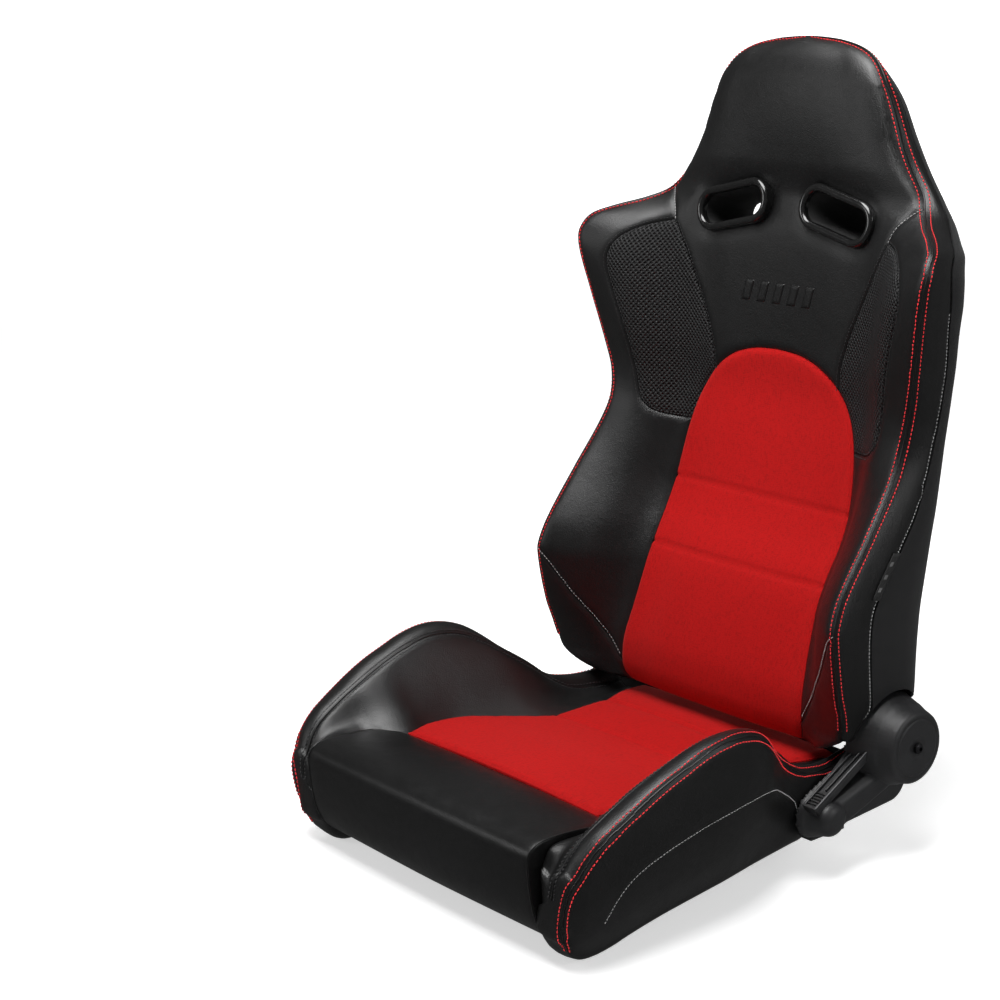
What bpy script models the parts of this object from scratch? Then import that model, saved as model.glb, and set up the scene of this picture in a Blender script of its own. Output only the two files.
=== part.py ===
"""Racing bucket seat with a reclining back, built as separate pieces.

Metres, +Z up, the sitter faces -Y, and +X is the sitter's left hand. The back's pieces are drawn in
the back's own upright frame (x, v, w), whose origin is on the recline axis: v runs to the rear and w
runs up the back. That frame leans by BACK_LEAN about the axis. The cushion's pieces are drawn with
their distance in front of the recline axis, d, and their height above the floor, z.
"""

import math

import bmesh
import bpy
from mathutils import Matrix, Vector

# Overall sizes
BACK_HEIGHT = 0.794
SEAT_HALF_WIDTH = 0.289
CUSHION_LENGTH = 0.502
CUSHION_HEIGHT = 0.216
BACK_LEAN = math.radians(10)

# Place of the recline axis
PIVOT_Y = 0.162
PIVOT_Z = 0.140

# Steel
RAIL_HEIGHT = 0.030
RAIL_WIDTH = 0.030
RAIL_LENGTH = 0.380
RAIL_REAR = -0.045
RAIL_OUTER_X = 0.135
CROSS_TUBE_RADIUS = 0.011
CROSS_TUBE_REACH = 0.134
MOUNT_HOLES = (0.035, 0.345)
MOUNT_HOLE_RADIUS = 0.0034
MOUNT_HOLE_DEPTH = 0.020
BACK_TUBE_RADIUS = 0.011
BACK_TUBE_DEPTH = 0.022
BACK_TUBE_UPPER_X = 0.182
CROSSBAR_RADIUS = 0.007
SPRING_WIRE_RADIUS = 0.0018
SPRING_SWING = 0.016
SPRING_TURNS = 6
PLATE = 0.004
GEAR_RADIUS = 0.034
GEAR_THICKNESS = 0.006
GEAR_BOSS_RADIUS = 0.016
ROD_RADIUS = 0.006
ROD_HOLE_RADIUS = 0.0075
UPPER_PLATE_X = 0.2215
LEVER_HUB_THICKNESS = 0.003
LEVER_HUB_RADIUS = 0.016
LEVER_WIDTH = 0.020
LEVER_THICKNESS = 0.011
CLOCK_SPRING_RADIUS = 0.027
COVER_SCREW_RADIUS = 0.0065
COVER_SCREW_SHANK = 0.004

# Plastic
COVER_WALL = 0.003
COVER_RADIUS = 0.050
COVER_LIP = 0.008
COVER_DEPTH = 0.030
COVER_FACE_RADIUS = 0.044
COVER_FACE_DEPTH = 0.018
COVER_ARM_RADIUS = 0.022
COVER_ARM_REACH = 0.112
COVER_ARM_DROP = 0.066
COVER_HEEL = (0.012, -0.056)
COVER_HEEL_RADIUS = 0.028
PLAIN_HINGE_RADIUS = 0.018
PLAIN_HINGE_ARM = (-0.050, -0.080)
PLAIN_HINGE_ARM_RADIUS = 0.012
SLOT_LENGTH = 0.118
SLOT_HEIGHT = 0.054
SLOT_CORNER = 0.022
SLOT_RING = 0.008
SLOT_WALL = 0.003
SLOT_PROUD = 0.0175
SLOT_CENTRE_X = 0.0855
SLOT_CENTRE_W = 0.5905
SLOT_TILT = math.radians(-13.2)

# Soft parts
FOAM_BOTTOM = 0.058
PAD_BACK_DEPTH = 0.018
CUSHION_CROWN = 0.003
CUSHION_REAR = -0.006
SKIRT_INNER_X = 0.196
PANEL_THICKNESS = 0.004
MESH_LIFT = 0.0018
TAG_LENGTH = 0.050
TAG_WIDTH = 0.012
TAG_THICKNESS = 0.0012
REAR_COVER_WALL = 0.0035
RECLINER_ROOM_W = 0.026
GAP = 0.0004
SOFT_GAP = 0.0012

# Nominal sizes that the outlines below were drawn at
DRAWN_HEIGHT = 0.794
DRAWN_HALF_WIDTH = 0.289
DRAWN_LENGTH = 0.502
DRAWN_CUSHION_HEIGHT = 0.216

# Outlines of the back, each a list of (w, value)
EDGE_X = [(-0.05, 0.150), (0.0, 0.156), (0.067, 0.152), (0.139, 0.147), (0.30, 0.147),
          (0.42, 0.150), (0.53, 0.160), (0.60, 0.168)]
EDGE_V = [(-0.03, -0.034), (-0.008, -0.047), (0.03, -0.053), (0.067, -0.049), (0.103, -0.044),
          (0.139, -0.038), (0.174, -0.027), (0.208, -0.014), (0.244, -0.006), (0.32, -0.005),
          (0.37, -0.008), (0.42, -0.019), (0.50, -0.031), (0.565, -0.036), (0.61, -0.030),
          (0.65, -0.040), (0.74, -0.048), (0.77, -0.044), (0.79, -0.032)]
CREST_X = [(0.0, 0.248), (0.03, 0.252), (0.118, 0.257), (0.169, 0.254), (0.233, 0.252),
           (0.297, 0.248), (0.331, 0.246), (0.366, 0.250), (0.398, 0.258), (0.464, 0.274),
           (0.529, 0.289), (0.559, 0.281), (0.573, 0.260), (0.587, 0.232), (0.603, 0.210),
           (0.627, 0.194), (0.651, 0.176), (0.676, 0.162), (0.702, 0.152), (0.727, 0.142),
           (0.752, 0.129), (0.773, 0.111), (0.786, 0.086), (0.794, 0.050)]
CREST_V = [(0.0, -0.076), (0.03, -0.090), (0.06, -0.106), (0.118, -0.127), (0.135, -0.129),
           (0.169, -0.120), (0.233, -0.088), (0.297, -0.056), (0.331, -0.046), (0.366, -0.047),
           (0.398, -0.056), (0.464, -0.080), (0.515, -0.097), (0.54, -0.097), (0.559, -0.086),
           (0.573, -0.066), (0.587, -0.045), (0.603, -0.028), (0.627, -0.023), (0.676, -0.031),
           (0.727, -0.043), (0.752, -0.046), (0.786, -0.039), (0.794, -0.034)]
SEAM_X = [(0.0, 0.258), (0.06, 0.262), (0.40, 0.264), (0.46, 0.270), (0.529, 0.281),
          (0.559, 0.272), (0.573, 0.259), (0.587, 0.245), (0.603, 0.228), (0.617, 0.214),
          (0.651, 0.184), (0.69, 0.153), (0.73, 0.128), (0.754, 0.106), (0.777, 0.080),
          (0.794, 0.050)]
SEAM_V = [(0.0, -0.036), (0.047, -0.050), (0.119, -0.069), (0.159, -0.070), (0.229, -0.039),
          (0.27, -0.022), (0.339, -0.011), (0.422, -0.010), (0.50, -0.034), (0.54, -0.045),
          (0.573, -0.025), (0.603, -0.004), (0.651, 0.003), (0.727, 0.000), (0.773, -0.008),
          (0.794, -0.020)]
REAR_DEPTH = [(-0.02, 0.044), (0.06, 0.060), (0.20, 0.068), (0.40, 0.066), (0.46, 0.064),
              (0.55, 0.060), (0.65, 0.052), (0.69, 0.050), (0.73, 0.044), (0.754, 0.034),
              (0.777, 0.020), (0.794, 0.000)]
BOLSTER_BACK_V = [(0.03, -0.045), (0.10, -0.032), (0.20, -0.018), (0.27, -0.004), (0.35, 0.009),
                  (0.44, 0.008), (0.53, -0.004), (0.60, -0.004)]
PAD_BACK_V = [(-0.04, -0.014), (0.02, -0.012), (0.10, 0.008), (0.16, 0.018), (0.60, 0.018)]

# Outlines of the cushion, each a list of (distance in front of the recline axis, value)
INSERT_X = [(0.005, 0.168), (0.041, 0.166), (0.081, 0.153), (0.17, 0.150), (0.236, 0.172),
            (0.29, 0.187), (0.345, 0.184), (0.384, 0.170)]
TOP_Z = [(0.005, 0.099), (0.08, 0.100), (0.17, 0.100), (0.236, 0.107), (0.29, 0.115),
         (0.378, 0.124), (0.45, 0.130), (0.49, 0.130)]
INNER_SEAM_X = [(0.115, 0.205), (0.151, 0.213), (0.183, 0.222), (0.213, 0.234), (0.25, 0.243),
                (0.33, 0.244), (0.40, 0.240), (0.464, 0.236), (0.485, 0.230)]
INNER_SEAM_Z = [(0.115, 0.118), (0.151, 0.146), (0.183, 0.169), (0.213, 0.190), (0.25, 0.206),
                (0.291, 0.210), (0.33, 0.202), (0.367, 0.189), (0.402, 0.174), (0.435, 0.157),
                (0.464, 0.138), (0.485, 0.112)]
OUTER_SEAM_X = [(0.115, 0.228), (0.15, 0.234), (0.18, 0.246), (0.21, 0.261), (0.25, 0.272), (0.30, 0.275),
                (0.40, 0.271), (0.464, 0.264), (0.487, 0.257)]
OUTER_SEAM_Z = [(0.115, 0.120), (0.142, 0.131), (0.17, 0.153), (0.20, 0.183), (0.23, 0.204),
                (0.26, 0.213), (0.30, 0.213), (0.34, 0.201), (0.38, 0.186), (0.42, 0.165),
                (0.464, 0.136), (0.487, 0.106)]
SKIRT_X = [(0.115, 0.222), (0.20, 0.232), (0.30, 0.238), (0.40, 0.236), (0.45, 0.233),
           (0.487, 0.238)]
SKIRT_Z = [(0.115, 0.038), (0.17, 0.037), (0.20, 0.0357), (0.25, 0.0318), (0.30, 0.028),
           (0.35, 0.0217), (0.40, 0.0115), (0.43, 0.0015), (0.455, 0.002), (0.47, 0.011),
           (0.487, 0.030)]

# How square the rear cover's section is: a lower power has squarer corners
REAR_CORNER = [(0.05, 0.32), (0.10, 0.40), (0.19, 0.50), (0.27, 0.65), (0.36, 0.80), (0.46, 0.85), (0.60, 0.90)]

# How far the front of the back stands out in the middle, and how hollow it is where negative
CROWN = [(0.0, 0.004), (0.10, 0.002), (0.25, -0.002), (0.45, -0.009), (0.60, -0.006), (0.70, 0.003),
         (0.79, 0.006)]

SEAT_SPRINGS = 4
BACK_SPRINGS = 4
COVER_STEPS = 6

# Distances at which the cushion's pieces have a section
CUSHION_SECTIONS = [0.020, 0.060, 0.115, 0.142, 0.165, 0.187, 0.208, 0.230, 0.255, 0.285, 0.315, 0.345, 0.374, 0.3802,
                    0.400, 0.430, 0.460, 0.487]

# Heights at which the back's pieces have a section, closer together where the outline turns
SECTIONS = ([-0.03, -0.018, 0.0] + [0.032 + 0.029 * i for i in range(18)]
            + [0.541, 0.559, 0.573, 0.587, 0.603, 0.627, 0.651, 0.676, 0.702, 0.727, 0.752, 0.773])


def smooth(table, at):
    """Value of a smooth curve through a table of (place, value), held flat past its ends."""
    if at <= table[0][0]:
        return table[0][1]
    if at >= table[-1][0]:
        return table[-1][1]
    k = max(i for i, (place, _) in enumerate(table[:-1]) if place <= at)

    def slope(i):
        low, high = table[max(i - 1, 0)], table[min(i + 1, len(table) - 1)]
        return (high[1] - low[1]) / (high[0] - low[0])

    (p0, v0), (p1, v1) = table[k], table[k + 1]
    span = p1 - p0
    t = (at - p0) / span
    return ((2 * t**3 - 3 * t**2 + 1) * v0 + (t**3 - 2 * t**2 + t) * span * slope(k)
            + (3 * t**2 - 2 * t**3) * v1 + (t**3 - t**2) * span * slope(k + 1))


def back_x(table, w):
    return smooth(table, w * DRAWN_HEIGHT / BACK_HEIGHT) * SEAT_HALF_WIDTH / DRAWN_HALF_WIDTH


def back_v(table, w):
    return smooth(table, w * DRAWN_HEIGHT / BACK_HEIGHT)


def cushion_x(table, d):
    return smooth(table, d * DRAWN_LENGTH / CUSHION_LENGTH) * SEAT_HALF_WIDTH / DRAWN_HALF_WIDTH


def cushion_z(table, d):
    return smooth(table, d * DRAWN_LENGTH / CUSHION_LENGTH) * CUSHION_HEIGHT / DRAWN_CUSHION_HEIGHT


def drawn_w(w):
    return w * BACK_HEIGHT / DRAWN_HEIGHT


def sections(low, high):
    """Heights of the sections from low to high, both as drawn, scaled to the back's height."""
    return [drawn_w(w) for w in [low] + [k for k in SECTIONS if low + 0.004 < k < high - 0.004] + [high]]


def drawn_x(x):
    return x * SEAT_HALF_WIDTH / DRAWN_HALF_WIDTH


def drawn_d(d):
    return d * CUSHION_LENGTH / DRAWN_LENGTH


def cushion_sections(low, high):
    return [drawn_d(d) for d in [low] + [k for k in CUSHION_SECTIONS if low + 0.004 < k < high - 0.004] + [high]]


def spread(start, end, count):
    return [start + (end - start) * i / (count - 1) for i in range(count)]


for old in list(bpy.data.objects):
    bpy.data.objects.remove(old, do_unlink=True)
PARTS = bpy.data.collections.new("racing_seat")
CUTTERS = bpy.data.collections.new("cutters")
bpy.context.scene.collection.children.link(PARTS)
bpy.context.scene.collection.children.link(CUTTERS)


def material(name, colour, roughness, metallic=0.0):
    made = bpy.data.materials.new(name)
    made.use_nodes = True
    shader = made.node_tree.nodes["Principled BSDF"]
    shader.inputs["Base Color"].default_value = (*colour, 1.0)
    shader.inputs["Roughness"].default_value = roughness
    shader.inputs["Metallic"].default_value = metallic
    return made


LEATHERETTE = material("black_leatherette", (0.018, 0.018, 0.020), 0.45)
RED_FABRIC = material("red_fabric", (0.62, 0.020, 0.015), 0.85)
MESH_FABRIC = material("black_mesh_fabric", (0.020, 0.020, 0.022), 0.8)
SUEDE = material("black_suede", (0.014, 0.014, 0.015), 0.95)
BLACK_STEEL = material("black_painted_steel", (0.02, 0.02, 0.022), 0.4, 0.6)
BRIGHT_STEEL = material("zinc_plated_steel", (0.55, 0.56, 0.58), 0.35, 1.0)
PLASTIC = material("black_plastic", (0.022, 0.022, 0.024), 0.4)
GLOSS_PLASTIC = material("gloss_black_plastic", (0.01, 0.01, 0.011), 0.15)


def empty(name, location, lean=0.0):
    made = bpy.data.objects.new(name, None)
    made.location = location
    made.rotation_euler = (-lean, 0, 0)
    PARTS.objects.link(made)
    return made


BASE = empty("base_origin", (0, PIVOT_Y, 0))
BACK = empty("recline_axis", (0, PIVOT_Y, PIVOT_Z), BACK_LEAN)
RELEASE = empty("release_axis", (0, PIVOT_Y, PIVOT_Z))


def place(obj, parent, finish, collection=PARTS):
    if collection is PARTS:
        obj.data.materials.clear()
        obj.data.materials.append(finish)
    obj.parent = parent
    for owner in list(obj.users_collection):
        owner.objects.unlink(obj)
    collection.objects.link(obj)
    if collection is CUTTERS:
        obj.hide_render = True
        obj.display_type = "WIRE"
    return obj


def from_bmesh(name, bm):
    bmesh.ops.recalc_face_normals(bm, faces=bm.faces)
    mesh = bpy.data.meshes.new(name)
    bm.to_mesh(mesh)
    bm.free()
    mesh.shade_smooth()
    mesh.set_sharp_from_angle(angle=math.radians(40))
    return bpy.data.objects.new(name, mesh)


def loft(name, rings, parent, finish, collection=PARTS):
    """Closed solid through rings of the same number of points, with flat ends."""
    bm = bmesh.new()
    rows = [[bm.verts.new(point) for point in ring] for ring in rings]
    count = len(rows[0])
    for low, high in zip(rows, rows[1:]):
        for i in range(count):
            j = (i + 1) % count
            bm.faces.new((low[i], low[j], high[j], high[i]))
    bm.faces.new(rows[0][::-1])
    bm.faces.new(rows[-1])
    bmesh.ops.triangulate(bm, faces=bm.faces)
    return place(from_bmesh(name, bm), parent, finish, collection)


def flat_outline(name, outlines, axis, low, high, parent, finish, collection=PARTS):
    """Flat plate between low and high along X (outline in v or y, w or z) or Y (outline in x, w)."""
    curve = bpy.data.curves.new(name, "CURVE")
    curve.dimensions = "2D"
    curve.fill_mode = "BOTH"
    curve.extrude = (high - low) / 2
    for outline in outlines:
        spline = curve.splines.new("POLY")
        spline.points.add(len(outline) - 1)
        spline.use_cyclic_u = True
        for point, (a, b) in zip(spline.points, outline):
            point.co = (a, b, 0, 1)
    obj = bpy.data.objects.new(name, curve)
    PARTS.objects.link(obj)
    bpy.context.view_layer.update()
    graph = bpy.context.evaluated_depsgraph_get()
    mesh = bpy.data.meshes.new_from_object(obj.evaluated_get(graph))
    bpy.data.objects.remove(obj)
    middle = (low + high) / 2
    if axis == "X":
        mesh.transform(Matrix(((0, 0, 1, middle), (1, 0, 0, 0), (0, 1, 0, 0), (0, 0, 0, 1))))
    else:
        mesh.transform(Matrix(((1, 0, 0, 0), (0, 0, -1, middle), (0, 1, 0, 0), (0, 0, 0, 1))))
    bm = bmesh.new()
    bm.from_mesh(mesh)
    bmesh.ops.remove_doubles(bm, verts=bm.verts, dist=0.00001)
    return place(from_bmesh(name, bm), parent, finish, collection)


def circle(radius, centre=(0.0, 0.0), count=24):
    turn = 2 * math.pi / count
    return [(centre[0] + radius * math.cos(i * turn), centre[1] + radius * math.sin(i * turn))
            for i in range(count)]


def rounded_rectangle(length, height, corner, centre, tilt, steps=6):
    outline = []
    for quarter in range(4):
        turn = quarter * math.pi / 2
        cx = (length / 2 - corner) * (1 if quarter in (0, 3) else -1)
        cy = (height / 2 - corner) * (1 if quarter < 2 else -1)
        for i in range(steps + 1):
            angle = turn + i * math.pi / 2 / steps
            outline.append((cx + corner * math.cos(angle), cy + corner * math.sin(angle)))
    return [(centre[0] + a * math.cos(tilt) - b * math.sin(tilt),
             centre[1] + a * math.sin(tilt) + b * math.cos(tilt)) for a, b in outline]


def hull_of_circles(circles, steps=24):
    """Outline of a belt drawn tight around circles, each a (centre, radius)."""
    outline = []
    for i in range(steps):
        angle = 2 * math.pi * i / steps
        out = Vector((math.cos(angle), math.sin(angle)))
        centre, radius = max(circles, key=lambda circle_: Vector(circle_[0]).dot(out) + circle_[1])
        outline.append(tuple(Vector(centre) + out * radius))
    return outline


def tube(name, points, radius, parent, finish, sides=2, cyclic=False):
    curve = bpy.data.curves.new(name, "CURVE")
    curve.dimensions = "3D"
    curve.bevel_depth = radius
    curve.bevel_resolution = sides
    curve.use_fill_caps = True
    spline = curve.splines.new("POLY")
    spline.points.add(len(points) - 1)
    spline.use_cyclic_u = cyclic
    for point, place_ in zip(spline.points, points):
        point.co = (*place_, 1)
    return place(bpy.data.objects.new(name, curve), parent, finish)


def cut(obj, cutter, name):
    modifier = obj.modifiers.new(name, "BOOLEAN")
    modifier.object = cutter
    modifier.operation = "DIFFERENCE"
    return obj


def box(name, low, high, parent, finish, bevel=0.0, collection=PARTS):
    bm = bmesh.new()
    bmesh.ops.create_cube(bm, size=1.0)
    middle = [(a + b) / 2 for a, b in zip(low, high)]
    bmesh.ops.scale(bm, vec=[b - a for a, b in zip(low, high)], verts=bm.verts)
    bmesh.ops.translate(bm, vec=middle, verts=bm.verts)
    obj = place(from_bmesh(name, bm), parent, finish, collection)
    if bevel:
        modifier = obj.modifiers.new("rounded", "BEVEL")
        modifier.width = bevel
        modifier.segments = 2
    return obj


def smooth_path(points, per_span=5):
    """Points along a smooth curve through the given ones."""
    path = []
    for i in range(len(points) - 1):
        p0, p1, p2, p3 = (Vector(points[max(0, min(len(points) - 1, j))]) for j in range(i - 1, i + 3))
        for k in range(per_span):
            t = k / per_span
            path.append(0.5 * (2 * p1 + (p2 - p0) * t + (2 * p0 - 5 * p1 + 4 * p2 - p3) * t**2
                               + (3 * p1 - p0 - 3 * p2 + p3) * t**3))
    path.append(Vector(points[-1]))
    return path


SIDES = (("left", 1), ("right", -1))


# Base frame
def base_frame():
    rear = RAIL_REAR
    front = rear - RAIL_LENGTH
    for side, s in SIDES:
        low, high = sorted((s * (RAIL_OUTER_X - RAIL_WIDTH), s * RAIL_OUTER_X))
        rail = box(f"base_rail_{side}", (low, front, 0), (high, rear, RAIL_HEIGHT), BASE, BLACK_STEEL,
                   0.002)
        for number, distance in enumerate(MOUNT_HOLES, 1):
            rows = [[(s * (RAIL_OUTER_X - RAIL_WIDTH / 2) + a, rear - distance + b, z)
                     for a, b in circle(MOUNT_HOLE_RADIUS, count=16)]
                    for z in (-0.01, MOUNT_HOLE_DEPTH)]
            cut(rail, loft(f"mount_hole_{side}_{number}", rows, BASE, None, CUTTERS), f"hole_{number}")
    height = RAIL_HEIGHT + CROSS_TUBE_RADIUS + GAP
    for name, y in (("front", front + 0.03), ("rear", rear - 0.012)):
        ends = [(x, y, height) for x in (-CROSS_TUBE_REACH, CROSS_TUBE_REACH)]
        tube(f"base_cross_tube_{name}", ends, CROSS_TUBE_RADIUS, BASE, BLACK_STEEL, 4)
    top = height + CROSS_TUBE_RADIUS + SPRING_WIRE_RADIUS + GAP
    outermost = CROSS_TUBE_REACH - SPRING_SWING - 0.018
    for number, x in enumerate(spread(-outermost, outermost, SEAT_SPRINGS), 1):
        points = zigzag((x, front + 0.022, top), (x, rear - 0.004, top), (1, 0, 0))
        tube(f"seat_spring_{number}", points, SPRING_WIRE_RADIUS, BASE, BRIGHT_STEEL, 0)


def zigzag(start, end, across):
    """Flat snaking wire from start to end, swinging to both sides."""
    start, end, across = Vector(start), Vector(end), Vector(across)
    count = SPRING_TURNS * 4
    return [start.lerp(end, i / count) + across * SPRING_SWING * math.sin(i * math.pi / 2)
            for i in range(count + 1)]


def crowned(half, height, crown):
    """Points across a crowned pad from -half to half."""
    return [(u * half, height + crown * (1 - u * u)) for u in (-1, -0.5, 0, 0.5, 1)]


# Cushion
def cushion_parts():
    bolster_hollow = 0.004
    rows, panel_rows = [], []
    for d in cushion_sections(CUSHION_REAR, 0.380):
        half = cushion_x(INSERT_X, d)
        top = [(x, -d, z) for x, z in crowned(half, cushion_z(TOP_Z, d), CUSHION_CROWN)]
        rows.append([(-half, -d, FOAM_BOTTOM), (half, -d, FOAM_BOTTOM)] + top[::-1])
        low = [(x * 0.985, -d, z + GAP * 2) for x, _, z in top]
        panel_rows.append(low + [(x, y, z + PANEL_THICKNESS) for x, y, z in low[::-1]])
    loft("cushion_center_foam", rows, BASE, LEATHERETTE)
    loft("cushion_insert", panel_rows[1:-1], BASE, RED_FABRIC)

    front = drawn_d(0.502)
    back = drawn_d(0.380) + SOFT_GAP
    top = cushion_z(TOP_Z, front)
    half = drawn_x(0.200)
    profile = [(back, FOAM_BOTTOM), (back, cushion_z(TOP_Z, back)), (front - 0.045, top + 0.002),
               (front - 0.018, top + 0.001), (front - 0.005, top - 0.005), (front, top - 0.018),
               (front - 0.006, 0.075), (front - 0.016, 0.040), (front - 0.028, 0.022),
               (front - 0.048, 0.018), (front - 0.062, 0.030), (front - 0.070, FOAM_BOTTOM)]
    rows = [[(x, -d, z) for d, z in profile] for x in (-half, half)]
    loft("cushion_front_roll", rows, BASE, LEATHERETTE)

    for side, s in SIDES:
        rows = []
        for d in cushion_sections(0.115, 0.487):
            roll = half + SOFT_GAP
            beside_roll = d > drawn_d(0.378)
            inner = roll if beside_roll else cushion_x(INSERT_X, d) + SOFT_GAP
            inner_z = cushion_z(TOP_Z, d) - (0.020 if beside_roll else 0.0)
            inner_z = min(inner_z, cushion_z(INNER_SEAM_Z, d) - 0.006)
            seam_x, seam_z = cushion_x(INNER_SEAM_X, d), cushion_z(INNER_SEAM_Z, d)
            outer_x, outer_z = cushion_x(OUTER_SEAM_X, d), cushion_z(OUTER_SEAM_Z, d)
            skirt_x, skirt_z = cushion_x(SKIRT_X, d), cushion_z(SKIRT_Z, d)
            rail = max(SKIRT_INNER_X, roll) if beside_roll else SKIRT_INNER_X
            rows.append([(s * x, -d, z) for x, z in (
                (rail, skirt_z), (rail, FOAM_BOTTOM + 0.002), (inner, FOAM_BOTTOM + 0.002),
                (inner, inner_z),
                ((inner + seam_x) / 2, (inner_z + seam_z) / 2 - bolster_hollow),
                (seam_x, seam_z), ((seam_x + outer_x) / 2, max(seam_z, outer_z) + 0.004),
                (outer_x, outer_z), (outer_x + 0.004, outer_z * 0.7 + skirt_z * 0.3),
                ((outer_x * 2 + skirt_x) / 3, outer_z * 0.35 + skirt_z * 0.65), (skirt_x, skirt_z))])
        loft(f"cushion_bolster_{side}", rows, BASE, LEATHERETTE)


# Back, soft parts
def back_parts():
    rows = []
    for w in sections(-0.030, 0.528):
        half = back_x(EDGE_X, w) - SOFT_GAP / 2
        edge, rear = back_v(EDGE_V, w), back_v(PAD_BACK_V, w)
        front = [(x, v, w) for x, v in crowned(half, edge, -back_v(CROWN, w))]
        rows.append(front + [(half, rear, w), (-half, rear, w)])
    loft("back_center_foam", rows, BACK, LEATHERETTE)

    lip = REAR_COVER_WALL + SOFT_GAP
    for side, s in SIDES:
        rows = []
        for w in sections(0.039, 0.598):
            inner = back_x(EDGE_X, w) + SOFT_GAP / 2
            edge, rear = back_v(EDGE_V, w), back_v(BOLSTER_BACK_V, w)
            crest_x, crest_v = back_x(CREST_X, w), back_v(CREST_V, w)
            seam_x, seam_v = back_x(SEAM_X, w), back_v(SEAM_V, w)
            rear = max(rear, seam_v + 0.004)
            rows.append([(s * x, v, w) for x, v in (
                (inner, edge),
                (inner * 0.5 + crest_x * 0.5, edge * 0.5 + crest_v * 0.5 - 0.004),
                (inner * 0.14 + crest_x * 0.86, edge * 0.1 + crest_v * 0.9 - 0.004),
                (crest_x, crest_v),
                ((crest_x + seam_x) / 2 + 0.003, (crest_v + seam_v) / 2),
                (seam_x, seam_v - SOFT_GAP), (seam_x - lip, seam_v - SOFT_GAP),
                (seam_x - 0.030, rear), (inner, rear))])
        loft(f"back_bolster_{side}", rows, BACK, LEATHERETTE)

    rows = []
    for w in sections(0.531, 0.598) + sections(0.603, 0.790):
        wide = w > drawn_w(0.600)
        half = back_x(CREST_X, w) if wide else back_x(EDGE_X, w) - SOFT_GAP / 2
        edge = back_v(CREST_V, w) if wide else back_v(EDGE_V, w)
        middle, crown = back_v(EDGE_V, w), back_v(CROWN, w)
        clear_of_hoop = BACK_TUBE_DEPTH - BACK_TUBE_RADIUS - SOFT_GAP
        rear = min(clear_of_hoop, back_v(REAR_DEPTH, w) - REAR_COVER_WALL - 0.012)
        seam = min(back_v(SEAM_V, w) - SOFT_GAP, rear - 0.002) if wide else rear
        side = back_x(SEAM_X, w) if wide else half
        shoulder = side - lip - 0.006 if wide else half
        right = [(half * 0.55, middle - crown * 0.7), (half, edge), (side, seam), (shoulder, seam),
                 (shoulder * 0.8, rear)]
        rows.append([(0, middle - crown, w)] + [(x, v, w) for x, v in right]
                    + [(-x, v, w) for x, v in right[::-1]])
    head = loft("head_foam", rows, BACK, LEATHERETTE)
    for side, s in SIDES:
        cutter = slot_solid(f"head_slot_cutter_{side}", s, SLOT_WALL + SOFT_GAP, -0.12, 0.10)
        cut(head, cutter, f"slot_{side}")

    rows = []
    for w in sections(0.000, 0.414):
        half, share = insert_half(w), insert_half(w) / back_x(EDGE_X, w)
        crown = back_v(CROWN, w)
        edge = back_v(EDGE_V, w) - 0.0016 - crown * (1 - share**2)
        low = [(x, v, w) for x, v in crowned(half, edge, -crown * share**2)]
        rows.append(low + [(x, v - PANEL_THICKNESS, w) for x, v, _ in low[::-1]])
    loft("back_insert", rows, BACK, RED_FABRIC)

    for side, s in SIDES:
        rows = []
        for w in spread(drawn_w(0.345), drawn_w(0.540), 8):
            inner, edge = back_x(EDGE_X, w), back_v(EDGE_V, w)
            crest_x, crest_v = back_x(CREST_X, w), back_v(CREST_V, w)
            start = (inner + 0.006, edge + (crest_v - edge) * 0.05)
            middle = (inner * 0.5 + crest_x * 0.5, edge * 0.5 + crest_v * 0.5 - 0.004)
            end = (inner * 0.30 + crest_x * 0.70, edge * 0.28 + crest_v * 0.72 - 0.004)
            line = [start, middle, end]
            low = [(x, v - MESH_LIFT) for x, v in line]
            ring = low + [(x, v - PANEL_THICKNESS * 0.6) for x, v in low[::-1]]
            rows.append([(s * x, v, w) for x, v in ring])
        loft(f"mesh_panel_{side}", rows, BACK, MESH_FABRIC)


def insert_half(w):
    """Half width of the red back insert: straight sides and an arched top."""
    arch_start, arch_top = drawn_w(0.280), drawn_w(0.422)
    side = back_x(EDGE_X, w) - 0.002
    if w <= arch_start:
        return side
    rise = (w - arch_start) / (arch_top - arch_start)
    return side * math.sqrt(max(0.0, 1 - rise**2.4))


# Harness slots
def slot_outline(s, grow):
    corner = SLOT_CORNER - SLOT_RING + grow
    length, height = SLOT_LENGTH - 2 * SLOT_RING + 2 * grow, SLOT_HEIGHT - 2 * SLOT_RING + 2 * grow
    centre = (s * drawn_x(SLOT_CENTRE_X), drawn_w(SLOT_CENTRE_W))
    return rounded_rectangle(length, height, corner, centre, s * SLOT_TILT)


def slot_solid(name, s, grow, front, rear):
    return flat_outline(name, [slot_outline(s, grow)], "Y", front, rear, BACK, None, CUTTERS)


def slot_front_v():
    return back_v(EDGE_V, drawn_w(SLOT_CENTRE_W)) - SLOT_PROUD


def harness_slots():
    rear = back_v(REAR_DEPTH, drawn_w(SLOT_CENTRE_W))
    front = slot_front_v()
    for side, s in SIDES:
        rings = [(SLOT_RING, front), (SLOT_RING - 0.002, front - 0.005), (0.002, front - 0.005),
                 (0.0, front), (0.0, rear + 0.001), (SLOT_WALL, rear + 0.001), (SLOT_WALL, front),
                 (SLOT_RING, front)]
        slot_ring_solid(f"slot_sleeve_{side}", s, rings[:-1])
        flange = SLOT_RING + 0.001
        rings = [(SLOT_WALL + GAP, rear + GAP), (SLOT_WALL + GAP, rear + 0.005),
                 (flange - 0.002, rear + 0.005), (flange, rear + 0.003), (flange, rear + GAP)]
        slot_ring_solid(f"slot_ring_rear_{side}", s, rings)


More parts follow.
